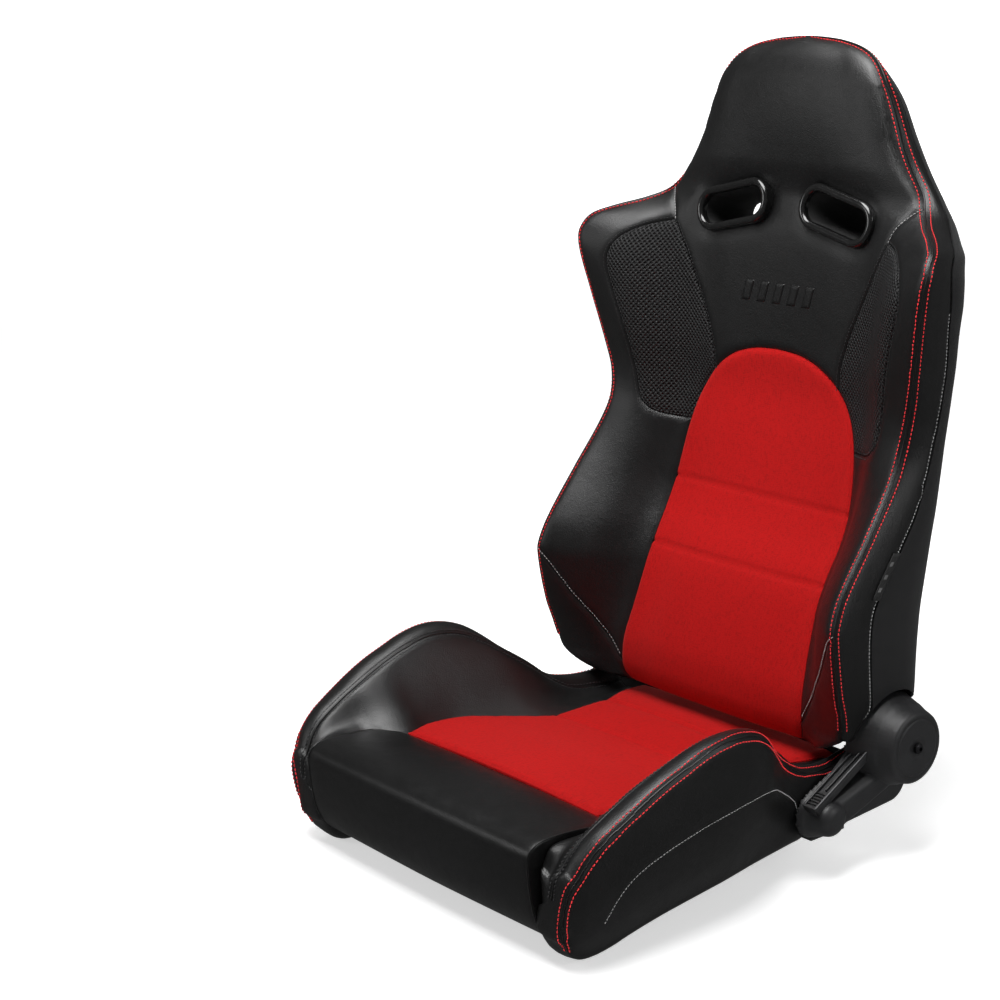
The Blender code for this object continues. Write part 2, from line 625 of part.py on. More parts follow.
def slot_ring_solid(name, s, profile):
    """Solid ring whose section, a list of (growth of the opening, v), follows the slot's outline."""
    bm = bmesh.new()
    loops = [[bm.verts.new((x, v, w)) for x, w in slot_outline(s, grow)] for grow, v in profile]
    for first, second in zip(loops, loops[1:] + loops[:1]):
        for i in range(len(first)):
            j = (i + 1) % len(first)
            bm.faces.new((first[i], first[j], second[j], second[i]))
    return place(from_bmesh(name, bm), BACK, GLOSS_PLASTIC)


# Back, frame and rear cover
def back_frame():
    x = UPPER_PLATE_X - BACK_TUBE_RADIUS - 0.002
    upper = drawn_x(BACK_TUBE_UPPER_X)
    depth = BACK_TUBE_DEPTH
    half_route = [(x, 0.012, drawn_w(0.055)), (x, 0.013, drawn_w(0.13)), (x, 0.018, drawn_w(0.22)),
                  (upper, depth, drawn_w(0.33)), (upper, depth, drawn_w(0.49)),
                  (drawn_x(0.160), depth, drawn_w(0.585)), (drawn_x(0.110), depth, drawn_w(0.655)),
                  (drawn_x(0.062), depth, drawn_w(0.684)), (0, depth, drawn_w(0.692))]
    other_half = [(-a, v, w) for a, v, w in half_route[-2::-1]]
    path = smooth_path(half_route + other_half, 3)
    tube("back_frame_hoop", path, BACK_TUBE_RADIUS, BACK, BLACK_STEEL, 2)
    v = PAD_BACK_DEPTH + CROSSBAR_RADIUS + SOFT_GAP
    for name, w, centre in (("lower", drawn_w(0.115), x), ("upper", drawn_w(0.480), upper)):
        end = centre - BACK_TUBE_RADIUS - GAP
        tube(f"back_crossbar_{name}", [(-end, v, w), (end, v, w)], CROSSBAR_RADIUS, BACK, BLACK_STEEL, 2)
    end = upper - BACK_TUBE_RADIUS - SOFT_GAP
    for number, w in enumerate(spread(drawn_w(0.20), drawn_w(0.42), BACK_SPRINGS), 1):
        v = PAD_BACK_DEPTH + SPRING_WIRE_RADIUS + 0.003
        points = zigzag((0.003 - end, v, w), (end - 0.003, v, w), (0, 0, 1))
        tube(f"back_spring_{number}", points, SPRING_WIRE_RADIUS, BACK, BRIGHT_STEEL, 0)


def rear_ring(w, shrink, front_reach):
    """Half of the rear cover's section, from the side seam round to the centre line."""
    side, seam = back_x(SEAM_X, w) - shrink, back_v(SEAM_V, w) + GAP
    depth = back_v(REAR_DEPTH, w) - shrink
    power = back_v(REAR_CORNER, w)
    points = [(side, seam - front_reach)]
    for i in range(COVER_STEPS + 1):
        angle = i * math.pi / 2 / COVER_STEPS
        across = math.cos(angle)**power if i < COVER_STEPS else 0.0
        points.append((side * across, seam + (depth - seam) * math.sin(angle)**power))
    return points


def rear_cover():
    solids = {}
    for name, shrink, reach, low, high in (("rear_cover", 0.0, 0.0, 0.004, 0.7970),
                                           ("rear_cover_hollow", REAR_COVER_WALL, 0.25, -0.08, 0.7925)):
        rows = []
        for w in sections(low, high):
            half = rear_ring(w, shrink, reach)
            if not reach:
                half = half[1:]
            rows.append([(x, v, w) for x, v in half] + [(-x, v, w) for x, v in half[-2::-1]])
        collection = PARTS if name == "rear_cover" else CUTTERS
        solids[name] = loft(name, rows, BACK, SUEDE, collection)
    cover = solids["rear_cover"]
    cut(cover, solids["rear_cover_hollow"], "hollow")
    for side, s in SIDES:
        cut(cover, slot_solid(f"cover_slot_cutter_{side}", s, SLOT_WALL + GAP, -0.12, 0.12), f"slot_{side}")
        inner = UPPER_PLATE_X - 2 * BACK_TUBE_RADIUS - 0.006
        low, high = sorted((s * inner, s * 0.4))
        room = box(f"recliner_room_{side}", (low, -0.2, -0.2), (high, 0.2, RECLINER_ROOM_W), BACK,
                   None, 0.0, CUTTERS)
        cut(cover, room, f"recliner_{side}")
        swing = [(x, circle(COVER_RADIUS + COVER_LIP + 0.004, count=32)) for x in (inner, 0.4)]
        cut(cover, loft(f"recliner_swing_{side}", side_rings(swing, s), BACK, None, CUTTERS), f"swing_{side}")


# Recliners
def recliner_stack():
    """Inner and outer X of each piece of the right-hand stack, from the seat outwards."""
    places = {}
    at = UPPER_PLATE_X
    for name, thickness in (("upper_plate", PLATE), ("upper_gear", GEAR_THICKNESS),
                            ("lower_gear", GEAR_THICKNESS), ("lower_plate", PLATE),
                            ("lever", LEVER_HUB_THICKNESS), ("clock_spring", 0.006)):
        places[name] = (at, at + thickness)
        at += thickness + GAP
    inner = places["upper_plate"][1] + GAP
    places["plain_plate"] = (inner, inner + PLATE)
    return places


def span(pair, s):
    return tuple(sorted((s * pair[0], s * pair[1])))


def recliners():
    """Left side: a round recliner with a lever and a cover. Right side: a plain hinge on the same rod."""
    stack = recliner_stack()
    arm = (-COVER_ARM_REACH, -COVER_ARM_DROP)
    for side, s in SIDES:
        radius = GEAR_RADIUS if side == "left" else PLAIN_HINGE_RADIUS
        plate = hull_of_circles([((0, 0), radius), ((0.003, drawn_w(0.19)), 0.014)])
        flat_outline(f"recliner_upper_plate_{side}", [plate, circle(ROD_HOLE_RADIUS)], "X",
                     *span(stack["upper_plate"], s), BACK, BLACK_STEEL)
    plate = hull_of_circles([((0, 0), GEAR_RADIUS), (arm, 0.015)])
    flat_outline("recliner_lower_plate_left", [plate, circle(ROD_HOLE_RADIUS)], "X",
                 *span(stack["lower_plate"], 1), RELEASE, BLACK_STEEL)
    plate = hull_of_circles([((0, 0), PLAIN_HINGE_RADIUS), (PLAIN_HINGE_ARM, PLAIN_HINGE_ARM_RADIUS)])
    flat_outline("recliner_lower_plate_right", [plate, circle(ROD_HOLE_RADIUS)], "X",
                 *span(stack["plain_plate"], -1), RELEASE, BLACK_STEEL)
    turned_gear("recliner_upper_gear_left", stack, 1)
    flat_outline("recliner_lower_gear_left", [circle(GEAR_RADIUS), circle(GEAR_BOSS_RADIUS + 0.0003)],
                 "X", *span(stack["lower_gear"], 1), RELEASE, BRIGHT_STEEL)
    top = PIVOT_Z - COVER_ARM_DROP + 0.006
    foot("left", 1, stack["lower_plate"][0] - GAP, top, -0.1138, -0.058)
    foot("right", -1, stack["plain_plate"][0] - GAP, top, -0.085, -0.047)
    lever("left", 1, stack)
    clock_spring("left", 1, stack)
    cover("left", 1, stack, arm)
    tube("sync_rod", [(-stack["plain_plate"][1], 0, 0), (stack["lever"][1], 0, 0)], ROD_RADIUS, RELEASE,
         BRIGHT_STEEL, 3)


def turned_gear(name, stack, s):
    """Upper half of the round recliner: a disc with a bearing boss that turns in the lower half."""
    inner, face = stack["upper_gear"]
    boss_end = stack["lower_gear"][1] - GAP
    profile = [(inner, ROD_HOLE_RADIUS), (inner, GEAR_RADIUS), (face, GEAR_RADIUS),
               (face, GEAR_BOSS_RADIUS), (boss_end, GEAR_BOSS_RADIUS), (boss_end, ROD_HOLE_RADIUS)]
    bm = bmesh.new()
    points = [bm.verts.new((s * x, 0, r)) for x, r in profile]
    edges = [bm.edges.new((a, b)) for a, b in zip(points, points[1:] + points[:1])]
    bmesh.ops.spin(bm, geom=points + edges, axis=(1, 0, 0), cent=(0, 0, 0), steps=24,
                   angle=2 * math.pi, use_merge=True)
    bmesh.ops.remove_doubles(bm, verts=bm.verts, dist=0.00001)
    return place(from_bmesh(name, bm), BACK, BRIGHT_STEEL)


def foot(side, s, plate, top, front, rear):
    """Folded bracket from the base rail's side out to the lower recliner plate, from front to rear in Y."""
    rail = RAIL_OUTER_X + GAP
    low, shelf = 0.004, RAIL_HEIGHT + 0.014
    outline = [(rail, low), (rail + PLATE, low), (rail + PLATE, shelf - PLATE),
               (plate, shelf - PLATE), (plate, top), (plate - PLATE, top), (plate - PLATE, shelf),
               (rail, shelf)]
    bm = bmesh.new()
    rows = [[bm.verts.new((s * x, y, z)) for x, z in outline] for y in (front, rear)]
    for i in range(len(outline)):
        j = (i + 1) % len(outline)
        bm.faces.new((rows[0][i], rows[0][j], rows[1][j], rows[1][i]))
    bm.faces.new(rows[0][::-1])
    bm.faces.new(rows[1])
    return place(from_bmesh(f"recliner_foot_{side}", bm), BASE, BLACK_STEEL)


def lever(side, s, stack):
    """Pull-up lever: hub plate on the sync rod, arm and a flat blade that points forward and down."""
    inner, outer = stack["lever"]
    hub = flat_outline(f"release_lever_{side}",
                       [hull_of_circles([((0, 0), LEVER_HUB_RADIUS), ((-0.058, -0.010), 0.009)]),
                        circle(ROD_RADIUS + 0.0003)], "X", *span((inner, outer), s), RELEASE, PLASTIC)
    start, end = Vector((-0.046, 0.002)), Vector((-0.137, -0.048))
    along = (end - start).normalized()
    down = Vector((-along.y, along.x))
    corners = [start, end, end + down * LEVER_THICKNESS, start + down * LEVER_THICKNESS]
    blade = flat_outline(f"lever_blade_{side}", [[tuple(c) for c in corners]], "X",
                         *span((inner + 0.001, inner + 0.001 + LEVER_WIDTH), s), RELEASE, None, CUTTERS)
    joined = hub.modifiers.new("blade", "BOOLEAN")
    joined.operation = "UNION"
    joined.object = blade
    return hub


def clock_spring(side, s, stack):
    """Flat spiral spring that swings the back forward, as a round wire spiral."""
    inner, outer = stack["clock_spring"]
    x = s * (inner + outer) / 2
    turns, per_turn = 2.25, 12
    points = []
    for i in range(int(turns * per_turn) + 1):
        angle = i * 2 * math.pi / per_turn
        radius = ROD_RADIUS + 0.006 + (CLOCK_SPRING_RADIUS - ROD_RADIUS - 0.006) * i / (turns * per_turn)
        points.append((x, radius * math.cos(angle), radius * math.sin(angle)))
    return tube(f"clock_spring_{side}", points, 0.0020, RELEASE, BRIGHT_STEEL, 0)


def cover(side, s, stack, arm):
    """Moulded cover over the recliner: a stepped round dome on a skirt with a forward arm, hollow inside."""
    base = stack["lever"][0] + LEVER_WIDTH + 0.004
    rim = stack["lower_plate"][1] + GAP
    dome_top = base + COVER_DEPTH - LEVER_WIDTH
    wall = COVER_WALL

    def outline(dome, tip, heel):
        return hull_of_circles([((0, 0), dome), (arm, tip), (COVER_HEEL, heel)], 28)

    lip = outline(COVER_RADIUS + COVER_LIP, COVER_ARM_RADIUS + 0.005, COVER_HEEL_RADIUS)
    body = outline(COVER_RADIUS, COVER_ARM_RADIUS, 0.010)
    crown = outline(COVER_FACE_RADIUS + 0.002, COVER_ARM_RADIUS - 0.006, 0.004)
    rings = [(rim, lip), (rim + 0.005, lip), (rim + 0.010, body), (dome_top - 0.005, body), (dome_top, crown)]
    shell = loft(f"recliner_cover_{side}", side_rings(rings, s), RELEASE, PLASTIC)
    face_top = dome_top + COVER_FACE_DEPTH
    add_round(shell, side, s, "face", dome_top - 0.002, face_top, COVER_FACE_RADIUS, "UNION", 0.006)
    hollow = outline(COVER_RADIUS - wall, COVER_ARM_RADIUS - wall, 0.010 - wall)
    tight = outline(COVER_FACE_RADIUS - wall, COVER_ARM_RADIUS - wall - 0.006, 0.001)
    rings = [(rim - 0.01, hollow), (dome_top - 0.005 - wall, hollow), (dome_top - wall, tight)]
    cut(shell, loft(f"cover_hollow_{side}", side_rings(rings, s), RELEASE, None, CUTTERS), "hollow")
    add_round(shell, side, s, "well", dome_top - 0.01, face_top - wall, COVER_FACE_RADIUS - wall - 0.002,
              "DIFFERENCE", 0.0)
    add_round(shell, side, s, "screw_hole", face_top - 0.02, face_top + 0.02,
              COVER_SCREW_SHANK + 0.0003, "DIFFERENCE", 0.0)
    low, high = span((rim - 0.02, base), s)
    window = box(f"lever_window_{side}", (low, -0.20, -0.066), (high, -0.022, 0.060), RELEASE, None, 0.0,
                 CUTTERS)
    cut(shell, window, "lever_window")
    screw(side, s, face_top)


def side_rings(rings, s):
    """Rings of (x, outline in y and z) as points, on the side that s gives."""
    return [[(s * x, y, z) for y, z in ring] for x, ring in rings]


def add_round(shell, side, s, name, start, end, radius, operation, chamfer):
    """Joins a round boss to the shell or cuts a round hole in it, from start to end along X."""
    rings = [(start, circle(radius + chamfer * 0.5, count=28))]
    if chamfer:
        rings.append((end - chamfer, circle(radius, count=28)))
    rings.append((end, circle(radius - chamfer, count=28)))
    modifier = shell.modifiers.new(name, "BOOLEAN")
    modifier.operation = operation
    modifier.object = loft(f"cover_{name}_{side}", side_rings(rings, s), RELEASE, None, CUTTERS)


def screw(side, s, face):
    """Domed screw that holds the cover: shank through the face and a round head with a hex socket."""
    head, shank = COVER_SCREW_RADIUS, COVER_SCREW_SHANK
    profile = [(face - 0.012, shank), (face + GAP, shank), (face + GAP, head), (face + 0.0034, head),
               (face + 0.0054, head * 0.7)]
    rings = [(x, circle(r, count=16)) for x, r in profile]
    made = loft(f"cover_screw_{side}", side_rings(rings, s), RELEASE, BRIGHT_STEEL)
    rings = [(x, circle(head * 0.42, count=6)) for x in (face + 0.002, face + 0.02)]
    cut(made, loft(f"screw_socket_{side}", side_rings(rings, s), RELEASE, None, CUTTERS), "socket")


# Woven tag that hangs from the left side seam, over the leather
def side_tag():
    rows = []
    for w in spread(drawn_w(0.195) - TAG_LENGTH / 2, drawn_w(0.195) + TAG_LENGTH / 2, 5):
        middle = (back_x(CREST_X, w) + back_x(SEAM_X, w)) / 2
        seam_x, seam_v = back_x(SEAM_X, w) + TAG_THICKNESS, back_v(SEAM_V, w) - SOFT_GAP
        outer_x, outer_v = max(middle, seam_x) + 0.0035, seam_v - TAG_WIDTH
        rows.append([(seam_x, seam_v, w), (outer_x, outer_v, w), (outer_x + TAG_THICKNESS, outer_v, w),
                     (seam_x + TAG_THICKNESS, seam_v, w)])
    loft("side_tag", rows, BACK, LEATHERETTE)


base_frame()
cushion_parts()
back_parts()
harness_slots()
back_frame()
rear_cover()
recliners()
side_tag()
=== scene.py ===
"""Looks of the racing seat: upholstery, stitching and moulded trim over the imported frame.

Back pieces are drawn in the back's own frame (x, v, w): v to the rear, w up the back, leaning by LEAN.
Cushion pieces are drawn with d, the distance in front of the recline axis, and z, the height.
"""
import math

import bmesh
import bpy
import numpy as np
from mathutils import Matrix, Vector
from mathutils.bvhtree import BVHTree
from mathutils.geometry import delaunay_2d_cdt


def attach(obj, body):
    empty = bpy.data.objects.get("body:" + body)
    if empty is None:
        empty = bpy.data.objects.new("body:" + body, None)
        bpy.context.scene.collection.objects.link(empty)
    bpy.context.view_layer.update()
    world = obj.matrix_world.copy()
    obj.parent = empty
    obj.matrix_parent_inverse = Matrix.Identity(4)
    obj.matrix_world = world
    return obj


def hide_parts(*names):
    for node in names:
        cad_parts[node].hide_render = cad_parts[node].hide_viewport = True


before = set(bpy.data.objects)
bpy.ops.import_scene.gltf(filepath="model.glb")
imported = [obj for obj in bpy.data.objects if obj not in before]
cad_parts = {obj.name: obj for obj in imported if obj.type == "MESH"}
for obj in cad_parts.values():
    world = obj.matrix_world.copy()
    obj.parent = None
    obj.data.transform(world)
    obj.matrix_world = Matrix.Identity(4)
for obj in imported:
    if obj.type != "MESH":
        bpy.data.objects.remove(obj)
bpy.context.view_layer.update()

PIVOT_Y, PIVOT_Z, LEAN = 0.162, 0.140, math.radians(10)
SIDES = (("left", 1), ("right", -1))

# ---------------------------------------------------------------- outlines
EDGE_X = [(-0.05, 0.150), (0.0, 0.156), (0.067, 0.152), (0.139, 0.147), (0.30, 0.147), (0.42, 0.150),
          (0.53, 0.160), (0.60, 0.168)]
EDGE_V = [(-0.031, -0.018), (-0.0285, -0.029), (-0.023, -0.038), (-0.012, -0.0455), (0.0, -0.050),
          (0.03, -0.053), (0.067, -0.049), (0.103, -0.044), (0.139, -0.038), (0.174, -0.027),
          (0.208, -0.014), (0.244, -0.006), (0.32, -0.005), (0.37, -0.008), (0.42, -0.019), (0.50, -0.031),
          (0.565, -0.036), (0.61, -0.030), (0.65, -0.040), (0.74, -0.048), (0.77, -0.044), (0.79, -0.033),
          (0.7975, -0.026)]
CREST_X = [(0.0, 0.246), (0.03, 0.252), (0.118, 0.257), (0.169, 0.254), (0.233, 0.252), (0.297, 0.248),
           (0.331, 0.246), (0.366, 0.250), (0.398, 0.258), (0.464, 0.274), (0.529, 0.289), (0.545, 0.287),
           (0.559, 0.281), (0.573, 0.260), (0.587, 0.232), (0.603, 0.210), (0.627, 0.194), (0.651, 0.176),
           (0.676, 0.162), (0.702, 0.152), (0.727, 0.142), (0.752, 0.129), (0.773, 0.111), (0.786, 0.086),
           (0.794, 0.050), (0.7968, 0.020), (0.7975, 0.0)]
CREST_V = [(0.0, -0.076), (0.03, -0.090), (0.06, -0.106), (0.118, -0.127), (0.135, -0.129), (0.169, -0.120),
           (0.233, -0.088), (0.297, -0.056), (0.331, -0.046), (0.366, -0.047), (0.398, -0.056),
           (0.464, -0.080), (0.515, -0.097), (0.54, -0.097), (0.559, -0.086), (0.573, -0.066),
           (0.587, -0.043), (0.603, -0.022), (0.627, -0.012), (0.676, -0.017), (0.727, -0.026),
           (0.752, -0.030), (0.786, -0.028), (0.7975, -0.024)]
SEAM_X = [(0.0, 0.256), (0.06, 0.262), (0.40, 0.264), (0.46, 0.270), (0.529, 0.281), (0.559, 0.272),
          (0.573, 0.259), (0.587, 0.245), (0.603, 0.228), (0.617, 0.214), (0.651, 0.184), (0.69, 0.156),
          (0.73, 0.132), (0.754, 0.112), (0.777, 0.086), (0.79, 0.056), (0.7965, 0.020), (0.7975, 0.0)]
SEAM_V = [(0.0, -0.036), (0.047, -0.050), (0.119, -0.069), (0.159, -0.070), (0.229, -0.039), (0.27, -0.022),
          (0.339, -0.011), (0.422, -0.010), (0.50, -0.034), (0.54, -0.045), (0.573, -0.025),
          (0.603, -0.004), (0.651, 0.003), (0.727, 0.000), (0.773, -0.006), (0.7975, -0.012)]
REAR_DEPTH = [(-0.02, 0.044), (0.06, 0.060), (0.20, 0.068), (0.40, 0.066), (0.46, 0.064), (0.55, 0.060),
              (0.65, 0.052), (0.69, 0.050), (0.73, 0.044), (0.754, 0.036), (0.777, 0.022), (0.790, 0.008),
              (0.7975, -0.004)]
REAR_CORNER = [(0.05, 0.32), (0.10, 0.40), (0.19, 0.50), (0.27, 0.65), (0.36, 0.80), (0.46, 0.85),
               (0.60, 0.90)]
# share of the rise from the seat's flat to the bolster's crest, at half of the way and near the crest
RISE_HALF = [(0.0, 0.60), (0.10, 0.64), (0.25, 0.66), (0.33, 0.80), (0.41, 0.92), (0.45, 0.88),
             (0.50, 0.78), (0.56, 0.60), (0.60, 0.50)]
RISE_NEAR = [(0.0, 0.96), (0.10, 0.97), (0.25, 0.985), (0.33, 1.02), (0.41, 1.04), (0.45, 1.03),
             (0.50, 1.01), (0.56, 0.96), (0.60, 0.94)]
CROWN = [(0.0, 0.004), (0.10, 0.002), (0.25, -0.002), (0.45, -0.009), (0.60, -0.006), (0.70, 0.003),
         (0.79, 0.004)]
INSERT_X = [(0.005, 0.168), (0.041, 0.166), (0.081, 0.153), (0.17, 0.150), (0.236, 0.172), (0.29, 0.187),
            (0.345, 0.184), (0.384, 0.171), (0.405, 0.192), (0.42, 0.2012), (0.50, 0.2012)]
TOP_Z = [(0.005, 0.099), (0.08, 0.100), (0.17, 0.100), (0.236, 0.107), (0.29, 0.115), (0.378, 0.124),
         (0.45, 0.130), (0.49, 0.130)]
INNER_X = [(0.05, 0.196), (0.115, 0.205), (0.151, 0.213), (0.183, 0.222), (0.213, 0.234), (0.25, 0.243),
           (0.33, 0.244), (0.40, 0.240), (0.464, 0.236), (0.485, 0.230)]
INNER_Z = [(0.05, 0.103), (0.09, 0.107), (0.115, 0.118), (0.151, 0.146), (0.183, 0.169), (0.213, 0.190),
           (0.25, 0.206), (0.291, 0.210), (0.33, 0.202), (0.367, 0.189), (0.402, 0.174), (0.435, 0.157),
           (0.464, 0.138), (0.485, 0.112)]
OUTER_X = [(0.012, 0.2125), (0.034, 0.2165), (0.055, 0.2215), (0.085, 0.2255), (0.115, 0.229),
           (0.15, 0.234), (0.18, 0.246), (0.21, 0.261), (0.25, 0.272), (0.30, 0.275), (0.40, 0.271),
           (0.464, 0.264), (0.487, 0.257)]
OUTER_Z = [(0.012, 0.119), (0.041, 0.1165), (0.062, 0.1148), (0.095, 0.1172), (0.12, 0.1235),
           (0.142, 0.1335), (0.17, 0.153), (0.20, 0.183), (0.23, 0.204), (0.26, 0.213), (0.30, 0.213),
           (0.34, 0.201), (0.38, 0.186), (0.42, 0.165), (0.464, 0.136), (0.487, 0.106)]
SKIRT_X = [(0.115, 0.222), (0.20, 0.232), (0.30, 0.238), (0.40, 0.236), (0.45, 0.233), (0.487, 0.238)]
SKIRT_Z = [(0.115, 0.038), (0.17, 0.037), (0.20, 0.0357), (0.25, 0.0318), (0.30, 0.028), (0.35, 0.0217),
           (0.40, 0.0115), (0.43, 0.0035), (0.455, 0.0035), (0.47, 0.011), (0.487, 0.030)]

INSERT_EDGE = [(0.136, -0.0295), (0.148, -0.0255), (0.155, -0.017), (0.157, -0.004), (0.156, 0.03),
               (0.152, 0.067), (0.149, 0.103), (0.147, 0.139), (0.147, 0.174), (0.148, 0.208),
               (0.147, 0.244), (0.144, 0.28), (0.138, 0.317), (0.126, 0.353), (0.104, 0.386),
               (0.072, 0.409), (0.037, 0.420), (0.0, 0.423)]
MESH_INNER = [(0.104, 0.386), (0.1065, 0.412), (0.119, 0.45), (0.132, 0.479), (0.146, 0.508),
              (0.160, 0.536), (0.176, 0.565)]
MESH_OUTER = [(0.176, 0.565), (0.200, 0.5565), (0.218, 0.546), (0.233, 0.532), (0.2415, 0.514),
              (0.2425, 0.498), (0.237, 0.476), (0.229, 0.452), (0.217, 0.410), (0.2065, 0.362),
              (0.200, 0.336), (0.188, 0.323), (0.172, 0.3178), (0.138, 0.3172)]
WING_SEAM = [(0.176, 0.565), (0.1795, 0.577), (0.188, 0.5905), (0.198, 0.6025), (0.2055, 0.6095)]
WING_TOP = 0.6095
HIP_FOOT = [(0.136, -0.0295), (0.175, -0.027), (0.208, -0.019), (0.232, -0.009), (0.246, 0.0)]
LOWER_SEAM = [(0.257, 0.124), (0.244, 0.112), (0.230, 0.092), (0.215, 0.071), (0.198, 0.052),
              (0.186, 0.037), (0.171, 0.018), (0.1605, 0.001)]
SLOT_CENTRE, SLOT_TILT = (0.0855, 0.5905), math.radians(-13.2)


def hermite(t, low, high, slope_low, slope_high):
    """Cubic between two values with the given slopes, at share t of the way."""
    return ((2 * t**3 - 3 * t**2 + 1) * low + (t**3 - 2 * t**2 + t) * slope_low
            + (3 * t**2 - 2 * t**3) * high + (t**3 - t**2) * slope_high)


def curve(table):
    """Smooth function through a table of (place, value), held flat past its ends."""
    places, values = np.array(table, float).T
    slopes = np.gradient(values, places) if len(table) < 3 else np.concatenate((
        [(values[1] - values[0]) / (places[1] - places[0])],
        (values[2:] - values[:-2]) / (places[2:] - places[:-2]),
        [(values[-1] - values[-2]) / (places[-1] - places[-2])]))

    def at(place):
        p = np.clip(np.asarray(place, float), places[0], places[-1])
        k = np.clip(np.searchsorted(places, p, side="right") - 1, 0, len(places) - 2)
        span = places[k + 1] - places[k]
        t = (p - places[k]) / span
        return hermite(t, values[k], values[k + 1], span * slopes[k], span * slopes[k + 1])
    return at


edge_x, edge_v, crest_x, crest_v = curve(EDGE_X), curve(EDGE_V), curve(CREST_X), curve(CREST_V)
seam_x, seam_v, rear_depth, rear_corner = curve(SEAM_X), curve(SEAM_V), curve(REAR_DEPTH), curve(REAR_CORNER)
crown, rise_half, rise_near = curve(CROWN), curve(RISE_HALF), curve(RISE_NEAR)


def lengths_along(points):
    """Distance of each point of a polyline from its start."""
    return np.concatenate(([0], np.cumsum(np.linalg.norm(np.diff(points, axis=0), axis=1))))


def resample(points, per_span=None, step=None, closed=False):
    """Smooth curve through points, by count between points or by spacing along it."""
    p = np.array(points, float)
    if closed:
        p = np.concatenate((p, p[:1]))
    lengths = lengths_along(p)
    columns = [curve(list(zip(lengths, p[:, c]))) for c in range(p.shape[1])]
    count = (len(p) - 1) * per_span + 1 if per_span else max(2, int(round(lengths[-1] / step)) + 1)
    if per_span:
        at = np.interp(np.arange(count) / per_span, np.arange(len(p)), lengths)
    else:
        at = np.linspace(0, lengths[-1], count)
    return np.stack([column(at) for column in columns], axis=1)


def even(points, step):
    """Points at even spacing along a polyline."""
    p = np.array(points, float)
    lengths = lengths_along(p)
    at = np.linspace(0, lengths[-1], max(2, int(round(lengths[-1] / step)) + 1))
    return np.stack([np.interp(at, lengths, p[:, c]) for c in range(p.shape[1])], axis=1)


def back_world(x, v, w):
    x, v, w = np.broadcast_arrays(np.asarray(x, float), v, w)
    return np.stack((x, PIVOT_Y + v * math.cos(LEAN) + w * math.sin(LEAN),
                     PIVOT_Z - v * math.sin(LEAN) + w * math.cos(LEAN)), axis=-1)


# ---------------------------------------------------------------- the back's surface
TOP_W = 0.7975
HEAD_W = 0.74
closer = 1 - (1 - np.linspace(0, 1, 90)[1:])**2
ROWS = np.concatenate((np.linspace(-0.031, HEAD_W, 420), HEAD_W + (TOP_W - HEAD_W) * closer))


def section_points(w):
    """Control points of half a section: centre line, front, crest and round to the rear seam."""
    e, c, s = edge_x(w), crest_x(w), seam_x(w)
    ev, cv, sv, k = edge_v(w), crest_v(w), seam_v(w), crown(w)
    narrow = np.clip((w - 0.56) / 0.07, 0, 1)
    narrow = narrow * narrow * (3 - 2 * narrow)
    e = e * (1 - narrow) + np.minimum(e, 0.60 * c) * narrow
    half_way = rise_half(w) * (1 - narrow) + 0.11 * narrow
    close_by = rise_near(w) * (1 - narrow) + 0.44 * narrow
    return np.stack((
        np.stack((0 * w, ev - k), -1), np.stack((0.5 * e, ev - 0.75 * k), -1), np.stack((e, ev), -1),
        np.stack((0.5 * (e + c), ev + (cv - ev) * half_way), -1),
        np.stack((e + (c - e) * 0.86, ev + (cv - ev) * close_by), -1),
        np.stack((c, cv), -1), np.stack(((c + s) / 2 + 0.003, (cv + sv) / 2), -1), np.stack((s, sv), -1)), 1)


def along(points, first, last, count):
    """Samples rows of control points from one of them to another, as a smooth curve."""
    steps = np.linalg.norm(np.diff(points, axis=1), axis=2) + 1e-6
    place = np.concatenate((np.zeros((len(points), 1)), np.cumsum(steps, axis=1)), axis=1)
    slope = np.empty_like(points)
    slope[:, 1:-1] = (points[:, 2:] - points[:, :-2]) / (place[:, 2:] - place[:, :-2])[..., None]
    slope[:, 0] = (points[:, 1] - points[:, 0]) / (place[:, 1] - place[:, 0])[:, None]
    slope[:, 0, 1] = 0
    slope[:, -1] = (points[:, -1] - points[:, -2]) / (place[:, -1] - place[:, -2])[:, None]
    out = []
    for u in np.linspace(first, last, count):
        k = min(int(u), points.shape[1] - 2)
        t = u - k
        span = (place[:, k + 1] - place[:, k])[:, None]
        out.append(hermite(t, points[:, k], points[:, k + 1], span * slope[:, k], span * slope[:, k + 1]))
    return np.stack(out, axis=1)


COLUMNS = 241
_points = section_points(ROWS)
_front = along(_points, 0, 5, 300)
FRONT_V = np.stack([np.interp(np.linspace(0, 1, COLUMNS) * row[-1, 0], np.maximum.accumulate(row[:, 0]), row[:, 1])
                    for row in _front])
SIDE = along(_points, 5, 7, 60)


def front(x, w):
    """Depth v of the seat back's front surface at x and w."""
    x, w = np.abs(np.asarray(x, float)), np.clip(np.asarray(w, float), ROWS[0], ROWS[-1])
    k = np.clip(np.searchsorted(ROWS, w, side="right") - 1, 0, len(ROWS) - 2)
    t = (w - ROWS[k]) / (ROWS[k + 1] - ROWS[k])
    q = np.clip(x / np.maximum(crest_x(w), 1e-6), 0, 1) * (COLUMNS - 1)
    j = np.clip(q.astype(int), 0, COLUMNS - 2)
    f = q - j
    low = FRONT_V[k, j] * (1 - f) + FRONT_V[k, j + 1] * f
    high = FRONT_V[k + 1, j] * (1 - f) + FRONT_V[k + 1, j + 1] * f
    return low * (1 - t) + high * t


